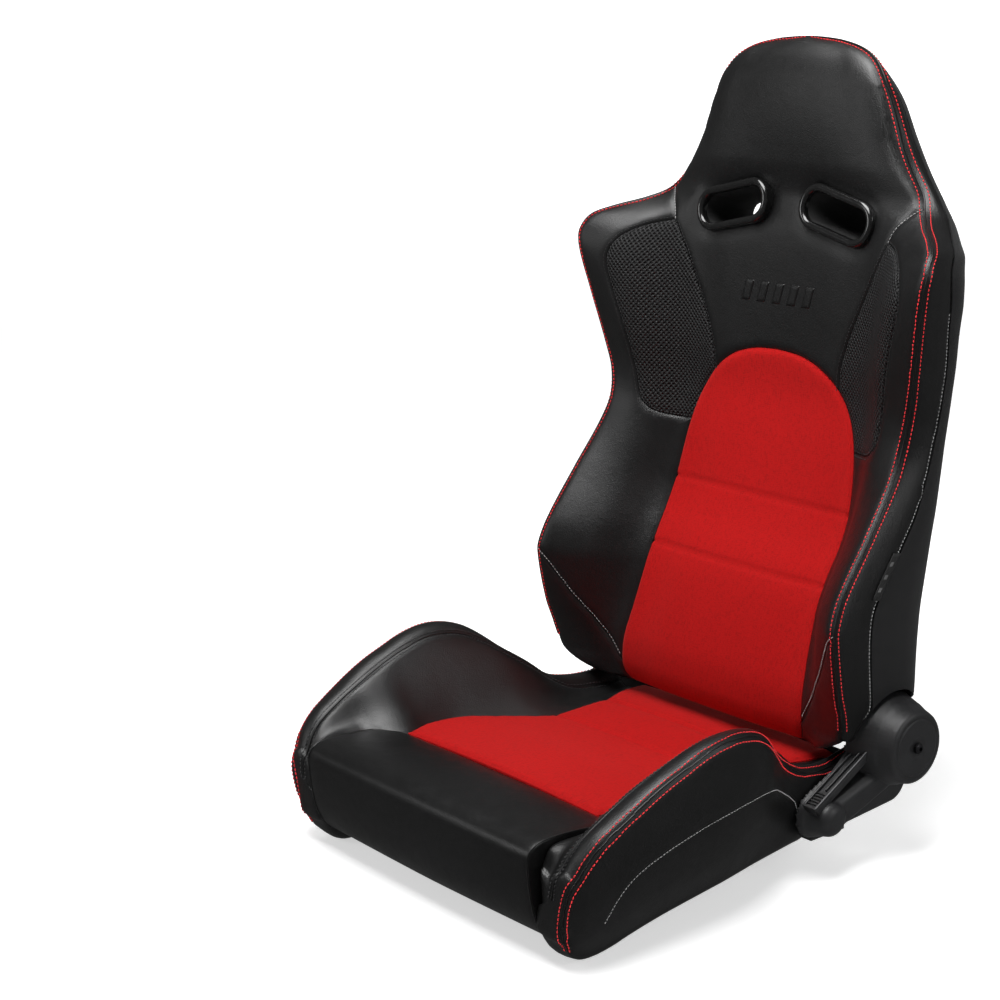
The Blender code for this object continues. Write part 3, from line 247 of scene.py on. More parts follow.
def side(t, w):
    """Point (x, v) of the outer side at share t from the crest to the rear seam."""
    t, w = np.asarray(t, float), np.asarray(w, float)
    k = np.clip(np.searchsorted(ROWS, w, side="right") - 1, 0, len(ROWS) - 2)
    f = ((w - ROWS[k]) / (ROWS[k + 1] - ROWS[k]))[..., None]
    q = np.clip(t, 0, 1) * (SIDE.shape[1] - 1)
    j = np.clip(q.astype(int), 0, SIDE.shape[1] - 2)
    g = (q - j)[..., None]
    low = SIDE[k, j] * (1 - g) + SIDE[k, j + 1] * g
    high = SIDE[k + 1, j] * (1 - g) + SIDE[k + 1, j + 1] * g
    return low * (1 - f) + high * f


# ---------------------------------------------------------------- mesh helpers
def mesh_object(name, points, faces, material, body, smooth=True):
    mesh = bpy.data.meshes.new(name)
    mesh.from_pydata([tuple(map(float, p)) for p in points], [], [tuple(map(int, f)) for f in faces])
    mesh.validate()
    mesh.update()
    if smooth:
        mesh.shade_smooth()
    mesh.materials.append(material)
    obj = bpy.data.objects.new(name, mesh)
    bpy.context.scene.collection.objects.link(obj)
    if body:
        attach(obj, body)
    return obj


def grid_faces(rows, columns, closed=False):
    faces = []
    wide = columns if closed else columns - 1
    for i in range(rows - 1):
        for j in range(wide):
            k = (j + 1) % columns
            faces.append((i * columns + j, i * columns + k, (i + 1) * columns + k, (i + 1) * columns + j))
    return faces


def inside(points, outline):
    x, y = points[:, 0][:, None], points[:, 1][:, None]
    a, b = outline, np.roll(outline, -1, axis=0)
    crosses = (a[:, 1] > y) != (b[:, 1] > y)
    with np.errstate(divide="ignore", invalid="ignore"):
        at = a[:, 0] + (y - a[:, 1]) * (b[:, 0] - a[:, 0]) / (b[:, 1] - a[:, 1])
    return ((x < at) & crosses).sum(axis=1) % 2 == 1


def gap_to(points, line, closed=True):
    """Distance of each point from a polyline."""
    a = line
    b = np.roll(line, -1, axis=0) if closed else line[1:]
    if not closed:
        a = line[:-1]
    best = np.full(len(points), 1e9)
    for start in range(0, len(points), 4000):
        p = points[start:start + 4000, None]
        span = (b - a)[None]
        t = np.clip(((p - a[None]) * span).sum(-1) / np.maximum((span**2).sum(-1), 1e-12), 0, 1)
        best[start:start + 4000] = np.linalg.norm(p - (a[None] + t[..., None] * span), axis=-1).min(axis=1)
    return best


def faces_outward(obj):
    """Turns a closed mesh's faces outward."""
    bm = bmesh.new()
    bm.from_mesh(obj.data)
    bmesh.ops.recalc_face_normals(bm, faces=bm.faces)
    bm.to_mesh(obj.data)
    bm.free()
    return obj


def orient(obj, outward):
    """Turns an open sheet's faces so that they look along outward on the whole."""
    bm = bmesh.new()
    bm.from_mesh(obj.data)
    bmesh.ops.recalc_face_normals(bm, faces=bm.faces)
    total = Vector((0, 0, 0))
    for face in bm.faces:
        total += face.normal * face.calc_area()
    if total.dot(Vector(outward)) < 0:
        bmesh.ops.reverse_faces(bm, faces=bm.faces)
    bm.to_mesh(obj.data)
    bm.free()
    return obj


def panel(name, outline, material, body, lift, holes=(), spacing=0.004, roll=0.0022, reach=0.0035,
          outward=(0, -1, 0), tuck=0.006):
    """Upholstery panel: its outline filled, lifted onto a surface, with edges rolled into the seams."""
    outline = even(np.concatenate((outline, outline[:1])), 0.0025)[:-1]
    loops = [outline] + [even(np.concatenate((hole, hole[:1])), 0.0025)[:-1] for hole in holes]
    low, high = outline.min(axis=0), outline.max(axis=0)
    xs = np.arange(low[0], high[0], spacing)
    ys = np.arange(low[1], high[1], spacing * 0.866)
    lattice = np.array([(x + (spacing / 2 if j % 2 else 0), y) for j, y in enumerate(ys) for x in xs])
    extra = [lattice]
    for loop in loops:
        tangent = np.roll(loop, -1, axis=0) - np.roll(loop, 1, axis=0)
        normal = np.stack((-tangent[:, 1], tangent[:, 0]), axis=1) / np.linalg.norm(tangent, axis=1)[:, None]
        for offset in (0.0011, 0.0024):
            extra += [loop + normal * offset, loop - normal * offset]
    inner = np.concatenate(extra)
    keep = inside(inner, outline)
    for loop in loops[1:]:
        keep &= ~inside(inner, loop)
    inner = inner[keep]
    gaps = np.min([gap_to(inner, loop) for loop in loops], axis=0)
    is_ring = np.arange(len(keep))[keep] >= len(lattice)
    inner = inner[np.where(is_ring, gaps > 0.0009, gaps > spacing * 0.85)]
    edges, points, start = [], [], 0
    for loop in loops:
        n = len(loop)
        edges += [(start + i, start + (i + 1) % n) for i in range(n)]
        points.append(loop)
        start += n
    points = np.concatenate(points + [inner])
    out = delaunay_2d_cdt([Vector(p) for p in points], edges, [], 0, 1e-6)
    flat, faces = np.array([tuple(p) for p in out[0]]), np.array(out[2])
    centres = flat[faces].mean(axis=1)
    keep = inside(centres, outline)
    for loop in loops[1:]:
        keep &= ~inside(centres, loop)
    faces = faces[keep]
    gaps = np.min([gap_to(flat, loop) for loop in loops], axis=0)
    world = lift(flat, roll * np.exp(-(gaps / reach)**2 * 1.6))
    obj = mesh_object(name, world, faces, material, body)
    bm = bmesh.new()
    bm.from_mesh(obj.data)
    bmesh.ops.delete(bm, geom=[v for v in bm.verts if not v.link_faces], context="VERTS")
    bm.to_mesh(obj.data)
    bm.free()
    orient(obj, outward)
    if tuck:
        tuck_edges(obj, tuck)
    return obj


def tuck_edges(obj, depth):
    """Folds the open edges of a sheet inwards, as cloth turns under at a seam."""
    bm = bmesh.new()
    bm.from_mesh(obj.data)
    bm.normal_update()
    edges = [e for e in bm.edges if e.is_boundary]
    normals = {v.index: v.normal.copy() for e in edges for v in e.verts}
    where = {v.index: v.co.copy() for e in edges for v in e.verts}
    made = bmesh.ops.extrude_edge_only(bm, edges=edges)
    new = [v for v in made["geom"] if isinstance(v, bmesh.types.BMVert)]
    lookup = {tuple(round(c, 7) for c in co): normals[i] for i, co in where.items()}
    for v in new:
        v.co -= lookup[tuple(round(c, 7) for c in v.co)] * depth
    bm.to_mesh(obj.data)
    bm.free()


def hermite_rows(rings, per_span, closed):
    """Smooth interpolation along axis 0 of an array of rings."""
    rings = np.asarray(rings, float)
    if closed:
        rings = np.concatenate((rings[-1:], rings, rings[:2]))
    step = np.linalg.norm(np.diff(rings, axis=0), axis=-1).mean(axis=1) + 1e-7
    place = np.concatenate(([0], np.cumsum(step)))
    slope = np.empty_like(rings)
    slope[1:-1] = (rings[2:] - rings[:-2]) / (place[2:] - place[:-2])[:, None, None]
    slope[0] = (rings[1] - rings[0]) / step[0]
    slope[-1] = (rings[-1] - rings[-2]) / step[-1]
    out = []
    first, last = (1, len(rings) - 2) if closed else (0, len(rings) - 1)
    for k in range(first, last):
        for i in range(per_span):
            t = i / per_span
            out.append(hermite(t, rings[k], rings[k + 1], step[k] * slope[k], step[k] * slope[k + 1]))
    if not closed:
        out.append(rings[-1])
    return np.stack(out)


def skin(name, rings, material, body, across=5, lengthways=5, caps=True):
    """Closed smooth body through rings of control points."""
    grid = hermite_rows(rings, lengthways, False)
    grid = hermite_rows(grid.transpose(1, 0, 2), across, True).transpose(1, 0, 2)
    rows, columns = grid.shape[:2]
    points = grid.reshape(-1, 3)
    faces = grid_faces(rows, columns, True)
    if caps:
        for row, flip in ((0, False), (rows - 1, True)):
            centre = len(points)
            points = np.concatenate((points, grid[row].mean(axis=0)[None]))
            for j in range(columns):
                a, b = row * columns + j, row * columns + (j + 1) % columns
                faces.append((centre, a, b) if flip else (centre, b, a))
    return faces_outward(mesh_object(name, points, faces, material, body))


def coordinates(obj):
    flat = np.empty(len(obj.data.vertices) * 3, np.float32)
    obj.data.vertices.foreach_get("co", flat)
    return flat.reshape(-1, 3).astype(float)


def set_coordinates(obj, points):
    obj.data.vertices.foreach_set("co", np.asarray(points, np.float32).reshape(-1))
    obj.data.update()


def vertex_normals(obj):
    flat = np.empty(len(obj.data.vertices) * 3, np.float32)
    obj.data.vertex_normals.foreach_get("vector", flat)
    return flat.reshape(-1, 3).astype(float)


def groove(obj, lines, depth, width):
    """Pulls the surface in along lines, as a sewn seam does."""
    points, normals = coordinates(obj), vertex_normals(obj)
    pull = np.zeros(len(points))
    for line in lines:
        near = gap_to(points, np.asarray(line, float), closed=False)
        pull = np.maximum(pull, depth * np.exp(-(near / width)**2))
    set_coordinates(obj, points - normals * pull[:, None])


def trees(objects):
    points, faces, start = [], [], 0
    for obj in objects:
        co = coordinates(obj)
        points += [Vector(p) for p in co]
        faces += [[start + i for i in f.vertices] for f in obj.data.polygons]
        start += len(co)
    return BVHTree.FromPolygons(points, faces)


def lay_on(tree, line, offset=0.0, proud=0.0, step=None):
    """Moves a line sideways along the surface by offset, and lays it on the surface, proud of it."""
    line = even(line, step or 0.0012)
    found = [tree.find_nearest(Vector(p)) for p in line]
    normals = np.array([tuple(f[1]) for f in found])
    wide = 9
    kernel = np.ones(wide) / wide
    padded = np.concatenate((np.repeat(normals[:1], wide // 2, 0), normals, np.repeat(normals[-1:], wide // 2, 0)))
    normals = np.stack([np.convolve(padded[:, c], kernel, "valid") for c in range(3)], axis=1)
    normals /= np.linalg.norm(normals, axis=1)[:, None]
    tangent = np.gradient(line, axis=0)
    tangent /= np.linalg.norm(tangent, axis=1)[:, None] + 1e-12
    across = np.cross(normals, tangent)
    moved = line + across * offset
    out, out_normals = [], []
    for p in moved:
        place, normal, _, _ = tree.find_nearest(Vector(p))
        out.append(tuple(place + normal * proud))
        out_normals.append(tuple(normal))
    return np.array(out), np.array(out_normals)


# share of a stitch's length, size there and lift, as shares of the thread's radius
STITCH_PROFILE = ((0.0, 0.35, -0.5), (0.16, 0.9, 0.4), (0.5, 1.05, 0.9), (0.84, 0.9, 0.4), (1.0, 0.35, -0.5))


def stitches(name, rows, material, body, length=0.0036, gap=0.0014, radius=0.00062):
    """Thread stitches along rows of (points, normals)."""
    points, faces = [], []
    for line, normals in rows:
        lengths = lengths_along(line)
        at = 0.0
        while at + length < lengths[-1]:
            ends = [np.array([np.interp(at + s, lengths, line[:, c]) for c in range(3)]) for s in (0, length)]
            n = np.array([np.interp(at + length / 2, lengths, normals[:, c]) for c in range(3)])
            t = ends[1] - ends[0]
            if np.linalg.norm(t) > length * 0.5:
                t /= np.linalg.norm(t)
                n = n - t * (n @ t)
                n /= np.linalg.norm(n)
                b = np.cross(t, n)
                start = len(points)
                for share, size, lift in STITCH_PROFILE:
                    centre = ends[0] + (ends[1] - ends[0]) * share + n * radius * lift
                    for i in range(6):
                        angle = i * math.pi / 3
                        points.append(centre + (n * math.sin(angle) + b * math.cos(angle)) * radius * size)
                for r in range(4):
                    for i in range(6):
                        j = (i + 1) % 6
                        low = start + r * 6
                        faces.append((low + i, low + j, low + 6 + j, low + 6 + i))
                faces.append(tuple(start + i for i in range(6))[::-1])
                faces.append(tuple(start + 24 + i for i in range(6)))
            at += length + gap
    return mesh_object(name, points, faces, material, body)


def cord_along(name, lines, radius, material, body, sides=8):
    """Piping: a round bead along each line."""
    points, faces = [], []
    for line in lines:
        line = np.asarray(line, float)
        tangent = np.gradient(line, axis=0)
        tangent /= np.linalg.norm(tangent, axis=1)[:, None] + 1e-12
        normal = np.cross(tangent[0], (0.3, 0.5, 0.8))
        start = len(points)
        for p, t in zip(line, tangent):
            normal = normal - t * (normal @ t)
            normal /= np.linalg.norm(normal)
            other = np.cross(t, normal)
            for i in range(sides):
                angle = 2 * math.pi * i / sides
                points.append(p + (normal * math.cos(angle) + other * math.sin(angle)) * radius)
        faces += [tuple(start + i for i in f) for f in grid_faces(len(line), sides, True)]
        faces.append(tuple(start + i for i in range(sides)))
        faces.append(tuple(start + (len(line) - 1) * sides + i for i in range(sides))[::-1])
    return mesh_object(name, points, faces, material, body)


def mirrored(points):
    return np.asarray(points, float) * np.array([-1.0] + [1.0] * (np.shape(points)[-1] - 1))


# ---------------------------------------------------------------- materials
def new_material(name, colour, roughness, **values):
    made = bpy.data.materials.new(name)
    made.use_nodes = True
    shader = made.node_tree.nodes["Principled BSDF"]
    shader.inputs["Base Color"].default_value = (*colour, 1)
    shader.inputs["Roughness"].default_value = roughness
    for key, value in values.items():
        shader.inputs[key.replace("_", " ")].default_value = value
    return made, made.node_tree, shader


def node(tree, kind, **values):
    made = tree.nodes.new(kind)
    for key, value in values.items():
        if key in made.inputs:
            made.inputs[key].default_value = value
        else:
            setattr(made, key, value)
    return made


def ramp(tree, source, stops):
    made = tree.nodes.new("ShaderNodeValToRGB")
    while len(made.color_ramp.elements) < len(stops):
        made.color_ramp.elements.new(0.5)
    for element, (place, colour) in zip(made.color_ramp.elements, stops):
        element.position = place
        element.color = (*colour, 1) if len(colour) == 3 else colour
    tree.links.new(source, made.inputs["Fac"])
    return made.outputs["Color"]


def bump(tree, shader, height, strength, distance, under=None):
    made = node(tree, "ShaderNodeBump", Strength=strength, Distance=distance)
    tree.links.new(height, made.inputs["Height"])
    if under:
        tree.links.new(under, made.inputs["Normal"])
    tree.links.new(made.outputs["Normal"], shader.inputs["Normal"])
    return made.outputs["Normal"]


def place_nodes(tree, scale=(1, 1, 1), turn=(0, 0, 0)):
    where = tree.nodes.new("ShaderNodeTexCoord")
    mapping = tree.nodes.new("ShaderNodeMapping")
    mapping.inputs["Scale"].default_value = scale
    mapping.inputs["Rotation"].default_value = turn
    tree.links.new(where.outputs["Object"], mapping.inputs["Vector"])
    return mapping.outputs["Vector"]


def leather(name, base=0.0045, rough=0.38, grain=1.0):
    made, tree, shader = new_material(name, (base, base, base * 1.04), rough, Specular_IOR_Level=0.5,
                                      Coat_Weight=0.05, Coat_Roughness=0.35)
    at = place_nodes(tree)
    cells = node(tree, "ShaderNodeTexVoronoi", Scale=950.0, feature="F1")
    warp = node(tree, "ShaderNodeTexNoise", Scale=420.0, Detail=3.0, Roughness=0.6)
    folds = node(tree, "ShaderNodeTexNoise", Scale=38.0, Detail=4.0, Roughness=0.55, Distortion=0.6)
    broad = node(tree, "ShaderNodeTexNoise", Scale=9.0, Detail=2.0)
    for texture in (cells, warp, folds, broad):
        tree.links.new(at, texture.inputs["Vector"])
    light = (base * 1.25, base * 1.25, base * 1.3)
    colour = ramp(tree, broad.outputs["Fac"], [(0.3, (base * 0.85,) * 3), (0.75, light)])
    tree.links.new(colour, shader.inputs["Base Color"])
    rough_out = ramp(tree, folds.outputs["Fac"], [(0.25, (rough - 0.05,) * 3), (0.8, (rough + 0.07,) * 3)])
    tree.links.new(rough_out, shader.inputs["Roughness"])
    first = bump(tree, shader, cells.outputs["Distance"], 0.35 * grain, 0.0005)
    second = bump(tree, shader, warp.outputs["Fac"], 0.30 * grain, 0.0006, first)
    bump(tree, shader, folds.outputs["Fac"], 0.10, 0.004, second)
    return made


def cloth(name, colour, dark):
    made, tree, shader = new_material(name, colour, 0.85, Sheen_Weight=0.10, Sheen_Roughness=0.45,
                                      Specular_IOR_Level=0.15)
    shader.inputs["Sheen Tint"].default_value = (1.0, 0.25, 0.2, 1)
    threads = []
    for scale in ((1.0, 0.10, 0.10), (0.16, 1.0, 1.0)):
        thread = node(tree, "ShaderNodeTexNoise", Scale=1500.0, Detail=0.0)
        tree.links.new(place_nodes(tree, scale), thread.inputs["Vector"])
        threads.append(thread.outputs["Fac"])
    broad = node(tree, "ShaderNodeTexNoise", Scale=6.0, Detail=1.0)
    tree.links.new(place_nodes(tree), broad.inputs["Vector"])
    mix = node(tree, "ShaderNodeMath", operation="ADD")
    tree.links.new(threads[0], mix.inputs[0])
    tree.links.new(threads[1], mix.inputs[1])
    woven = ramp(tree, mix.outputs[0], [(0.70, dark), (1.0, colour)])
    blend = node(tree, "ShaderNodeMix", data_type="RGBA", blend_type="MULTIPLY")
    blend.inputs["Factor"].default_value = 0.3
    tree.links.new(woven, blend.inputs["A"])
    tree.links.new(ramp(tree, broad.outputs["Fac"], [(0.2, (0.8, 0.8, 0.8)), (0.8, (1, 1, 1))]), blend.inputs["B"])
    tree.links.new(blend.outputs["Result"], shader.inputs["Base Color"])
    bump(tree, shader, mix.outputs[0], 0.22, 0.0005)
    return made


def mesh_cloth(name):
    made, tree, shader = new_material(name, (0.02, 0.02, 0.02), 0.6, Specular_IOR_Level=0.3)
    heights = []
    for turn in (math.radians(38), math.radians(-38)):
        at = place_nodes(tree, turn=(0, turn, 0))
        wave = node(tree, "ShaderNodeTexWave", Scale=78.0, Distortion=0.0, bands_direction="X", wave_profile="SIN")
        tree.links.new(at, wave.inputs["Vector"])
        heights.append(wave.outputs["Fac"])
    join = node(tree, "ShaderNodeMath", operation="MULTIPLY")
    tree.links.new(heights[0], join.inputs[0])
    tree.links.new(heights[1], join.inputs[1])
    colour = ramp(tree, join.outputs[0], [(0.05, (0.014, 0.014, 0.0145)), (0.35, (0.002, 0.002, 0.002))])
    tree.links.new(colour, shader.inputs["Base Color"])
    flip = node(tree, "ShaderNodeMath", operation="SUBTRACT")
    flip.inputs[0].default_value = 1.0
    tree.links.new(join.outputs[0], flip.inputs[1])
    bump(tree, shader, flip.outputs[0], 0.9, 0.0022)
    return made


def speckled(name, colour, rough, scale, strength, metallic=0.0, distance=0.0006, **values):
    made, tree, shader = new_material(name, colour, rough, Metallic=metallic, **values)
    at = place_nodes(tree)
    fine = node(tree, "ShaderNodeTexNoise", Scale=scale, Detail=4.0, Roughness=0.65)
    broad = node(tree, "ShaderNodeTexNoise", Scale=scale / 30, Detail=3.0)
    for texture in (fine, broad):
        tree.links.new(at, texture.inputs["Vector"])
    tree.links.new(ramp(tree, broad.outputs["Fac"], [(0.25, tuple(c * 0.8 for c in colour)),
                                                      (0.8, tuple(min(1, c * 1.2) for c in colour))]),
                   shader.inputs["Base Color"])
    tree.links.new(ramp(tree, fine.outputs["Fac"], [(0.3, (rough - 0.06,) * 3), (0.8, (rough + 0.08,) * 3)]),
                   shader.inputs["Roughness"])
    bump(tree, shader, fine.outputs["Fac"], strength, distance)
    return made


LEATHER = leather("seat_leather")
SMOOTH_LEATHER = leather("nose_leather", 0.004, 0.34, 0.6)
RED = cloth("red_weave", (0.42, 0.004, 0.004), (0.29, 0.003, 0.003))
MESH = mesh_cloth("shoulder_mesh")
SUEDE = speckled("rear_suede", (0.006, 0.006, 0.0065), 0.9, 1600.0, 0.5, Sheen_Weight=0.06,
                 Sheen_Roughness=0.5, Specular_IOR_Level=0.25)
LINING = speckled("pad_lining", (0.008, 0.008, 0.008), 0.92, 900.0, 0.5)
PLASTIC = speckled("moulded_plastic", (0.016, 0.016, 0.017), 0.42, 1300.0, 0.35)
GLOSS = speckled("slot_gloss", (0.006, 0.006, 0.006), 0.16, 300.0, 0.02, Coat_Weight=0.4)
STEEL = speckled("zinc_steel", (0.46, 0.47, 0.49), 0.34, 500.0, 0.06, metallic=1.0)
DARK_STEEL = speckled("dark_steel", (0.08, 0.08, 0.085), 0.3, 500.0, 0.06, metallic=1.0)
PAINT = speckled("satin_black_paint", (0.014, 0.014, 0.015), 0.42, 700.0, 0.18)
RED_THREAD = speckled("red_thread", (0.85, 0.020, 0.026), 0.6, 2500.0, 0.3)
WHITE_THREAD = speckled("grey_thread", (0.42, 0.42, 0.42), 0.6, 2500.0, 0.3)
DARK_THREAD = speckled("dark_thread", (0.030, 0.030, 0.031), 0.55, 2500.0, 0.3)
BLACK_PIPING = leather("black_piping", 0.005, 0.34, 0.5)
TAG = speckled("woven_tag_black", (0.012, 0.012, 0.012), 0.7, 1800.0, 0.5)
TAG_MARK = speckled("woven_tag_mark", (0.10, 0.10, 0.10), 0.7, 1800.0, 0.5)
# painted highlight: a light grey finish that stands in for the shine along the lever's raised rib
RIB_HIGHLIGHT_PAINT = speckled("painted_rib_highlight", (0.16, 0.16, 0.165), 0.3, 900.0, 0.1)


# ---------------------------------------------------------------- the back's upholstery
def slot_ring(s, grow, corner_steps=8, length=0.118, height=0.054, corner=0.0262):
    """Rounded outline of a harness slot's bezel, larger by grow, in (x, w)."""
    outline = []
    length, height, corner = length + 2 * grow, height + 2 * grow, corner + grow
    for quarter in range(4):
        cx = (length / 2 - corner) * (1 if quarter in (0, 3) else -1)
        cy = (height / 2 - corner) * (1 if quarter < 2 else -1)
        for i in range(corner_steps + 1):
            angle = quarter * math.pi / 2 + i * math.pi / 2 / corner_steps
            outline.append((cx + corner * math.cos(angle), cy + corner * math.sin(angle)))
    tilt = s * SLOT_TILT
    a, b = np.array(outline).T
    return np.stack((s * SLOT_CENTRE[0] + a * math.cos(tilt) - b * math.sin(tilt),
                     SLOT_CENTRE[1] + a * math.sin(tilt) + b * math.cos(tilt)), axis=1)


CHANNELS = (0.242, 0.157)


def lift_front(flat, inward, puff=0.0, channels=(), dips=()):
    x, w = flat[:, 0], flat[:, 1]
    v = front(x, w) + inward
    for level in channels:
        v = v + 0.0026 * np.exp(-((w - level) / 0.0022)**2)
    for outline, depth, width in dips:
        near = np.where(inside(flat, outline), 0, gap_to(flat, outline))
        v = v + depth * np.exp(-(near / width)**2)
    return back_world(x, v - puff, w)


def crest_line(low, high):
    dense = ROWS[(ROWS > max(low, 0.78)) & (ROWS < high)]
    w = np.unique(np.concatenate((np.linspace(low, min(high, 0.78), 220), dense, [high])))
    return np.stack((crest_x(w), w), axis=1)


insert_edge = resample(INSERT_EDGE, per_span=8)
mesh_inner, mesh_outer = resample(MESH_INNER, per_span=8), resample(MESH_OUTER, per_span=6)
wing_seam, lower_seam = resample(WING_SEAM, per_span=6), resample(LOWER_SEAM, per_span=8)
wing_seam[-1] = (crest_x(WING_TOP), WING_TOP)
lower_seam[0] = (crest_x(LOWER_SEAM[0][1]), LOWER_SEAM[0][1])
split = int(np.argmin(np.hypot(*(insert_edge - MESH_INNER[0]).T)))
mesh_foot = int(np.argmin(np.hypot(*(insert_edge - MESH_OUTER[-1]).T)))
lower_foot = int(np.argmin(np.hypot(*(insert_edge - LOWER_SEAM[-1]).T)))

whole_insert = np.concatenate((insert_edge, mirrored(insert_edge)[::-1][1:]))
back_insert = panel("back_insert_cloth", whole_insert, RED, "back",
                    lambda flat, inward: lift_front(flat, inward, 0.0010, CHANNELS), spacing=0.005, roll=0.003)
head = crest_line(WING_TOP, TOP_W)
arch = insert_edge[split:]
right_edge = np.concatenate((mesh_inner, wing_seam[1:], head[1:]))
centre_outline = np.concatenate((right_edge, mirrored(right_edge)[::-1][1:], mirrored(arch)[1:], arch[::-1][1:-1]))
slot_dips = [(slot_ring(s, 0.0), 0.0028, 0.010) for _, s in SIDES]
back_centre = panel("back_centre_leather", centre_outline, LEATHER, "back",
                    lambda flat, inward: lift_front(flat, inward, 0.0, (), slot_dips),
                    holes=[slot_ring(s, -0.004) for _, s in SIDES], spacing=0.005)
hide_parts("back_insert")
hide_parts("back_center_foam", "head_foam")
soft_back = [back_insert, back_centre]
for name, s in SIDES:
    sign = np.array([s, 1.0])
    outline = np.concatenate((mesh_inner, mesh_outer[1:], insert_edge[mesh_foot:split]))
    piece = panel(f"shoulder_mesh_{name}", outline * sign, MESH, "back", lift_front, spacing=0.006, roll=0.0026)
    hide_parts(f"mesh_panel_{name}")
    soft_back.append(piece)
    outline = np.concatenate((insert_edge[lower_foot:mesh_foot], mesh_outer[::-1][:-1], wing_seam,
                              crest_line(LOWER_SEAM[0][1], WING_TOP)[::-1][1:], lower_seam[1:-1]))
    piece = panel(f"back_bolster_leather_{name}", outline * sign, LEATHER, "back", lift_front, spacing=0.005)
    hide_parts(f"back_bolster_{name}")
    soft_back.append(piece)
    hip_foot = resample(HIP_FOOT, per_span=6)
    outline = np.concatenate((crest_line(0.0, LOWER_SEAM[0][1]), lower_seam[1:],
                              insert_edge[:lower_foot][::-1], hip_foot[1:-1]))
    soft_back.append(panel(f"back_hip_leather_{name}", outline * sign, LEATHER, "back", lift_front, spacing=0.004))

    levels = ROWS[(ROWS >= 0.0)]
    levels = levels[::2] if len(levels) % 2 else np.concatenate((levels[::2], levels[-1:]))
    shares = np.concatenate(([0, 0.02, 0.05], np.linspace(0.1, 0.9, 13), [0.95, 0.98, 1.0]))
    points = side(shares[None, :] + 0 * levels[:, None], levels[:, None] + 0 * shares[None, :])
    breadth = np.hypot(crest_x(levels) - seam_x(levels), crest_v(levels) - seam_v(levels))
    ends = np.minimum(shares, 1 - shares)[None, :] * breadth[:, None]
    dip = 0.0018 * np.exp(-(ends / 0.0035)**2)
    dip[levels > 0.60] *= 0.25
    inner = np.stack((np.full_like(dip, -1.0), np.zeros_like(dip)), -1)
    points = points + inner * dip[..., None]
    reach = np.hypot(points[..., 1], levels[:, None])
    inside_dome = 1 / (1 + np.exp((reach - 0.0605) / 0.0012))
    points[..., 0] = points[..., 0] * (1 - inside_dome) + np.minimum(points[..., 0], 0.2415) * inside_dome
    world = back_world(s * points[..., 0], points[..., 1], levels[:, None] + 0 * shares[None, :])
    piece = mesh_object(f"back_side_leather_{name}", world.reshape(-1, 3), grid_faces(len(levels), len(shares)),
                        LEATHER, "back")
    orient(piece, (s, 0, 0))
    tuck_edges(piece, 0.005)
    soft_back.append(piece)

# closed pad behind the panels
rings = []
for w in np.concatenate((np.linspace(-0.022, 0.74, 27), [0.765, 0.782, 0.790])):
    reach = float(seam_x(w)) - 0.006
    half = min(reach, 0.250, 0.150 + 3.5 * max(0.0, w))
    u = np.linspace(0, 1, 7)
    xs = u * min(float(crest_x(w)) - 0.010, half)
    front_v = front(xs, np.full_like(xs, w)) + 0.008
    rear = min(0.012, float(rear_depth(w)) - 0.014)
    if w < 0.16:
        rear = min(rear, -0.012 + 0.15 * max(0.0, w))
    rear = max(rear, float(front_v[0]) + 0.004)
    seam = min(float(seam_v(w)) + 0.002, rear)
    half_ring = list(zip(xs, front_v)) + [(half, seam), (half * 0.8, rear), (0, rear)]
    ring = [(x, v) for x, v in half_ring] + [(-x, v) for x, v in half_ring[-2:0:-1]]
    rings.append(back_world([p[0] for p in ring], [p[1] for p in ring], w))
core = skin("back_pad_core", rings, LINING, "back", 2, 2)
cutters = []
for _, s in SIDES:
    outline = slot_ring(s, 0.002)
    ends = [back_world(outline[:, 0], v, outline[:, 1]) for v in (-0.15, 0.12)]
    count = len(outline)
    cutter = mesh_object("slot_cutter", np.concatenate(ends), grid_faces(2, count, True) + [tuple(range(count))[::-1],
                         tuple(range(count, 2 * count))], LINING, None, False)
    cutter.hide_render = True
    cutters.append(faces_outward(cutter))


def apply_cut(obj, others):
    for number, other in enumerate(others):
        modifier = obj.modifiers.new(f"cut_{number}", "BOOLEAN")
        modifier.object = other
        modifier.operation = "DIFFERENCE"
        modifier.solver = "EXACT"
    apply_modifiers(obj)


def apply_modifiers(obj):
    bpy.context.view_layer.update()
    graph = bpy.context.evaluated_depsgraph_get()
    mesh = bpy.data.meshes.new_from_object(obj.evaluated_get(graph))
    obj.modifiers.clear()
    old = obj.data
    obj.data = mesh
    bpy.data.meshes.remove(old)


apply_cut(core, cutters)

# rear cover
levels = np.concatenate((np.linspace(0.004, 0.74, 190), ROWS[ROWS > 0.74][::3], [TOP_W]))
angles = np.linspace(0, 1, 37)
angles = angles * math.pi / 2
rings = []
for w in levels:
    sx, sv, depth, power = float(seam_x(w)), float(seam_v(w)) + 0.0004, float(rear_depth(w)), float(rear_corner(w))
    across, back = np.cos(angles)**power, np.sin(angles)**power
    across[-1] = 0
    half = np.stack((sx * across, sv + (depth - sv) * back), axis=1)
    full = np.concatenate((half, mirrored(half)[::-1][1:]))
    rings.append(back_world(full[:, 0], full[:, 1], w))
grid = np.stack(rings)
rear = mesh_object("rear_suede_cover", grid.reshape(-1, 3), grid_faces(grid.shape[0], grid.shape[1]), SUEDE, "back")
orient(rear, (0, 1, 0))
room = []


def cutter_from(bm, name):
    mesh = bpy.data.meshes.new(name)
    bmesh.ops.recalc_face_normals(bm, faces=bm.faces)
    bm.to_mesh(mesh)
    bm.free()
    made = bpy.data.objects.new(name, mesh)
    bpy.context.scene.collection.objects.link(made)
    made.hide_render = True
    return made


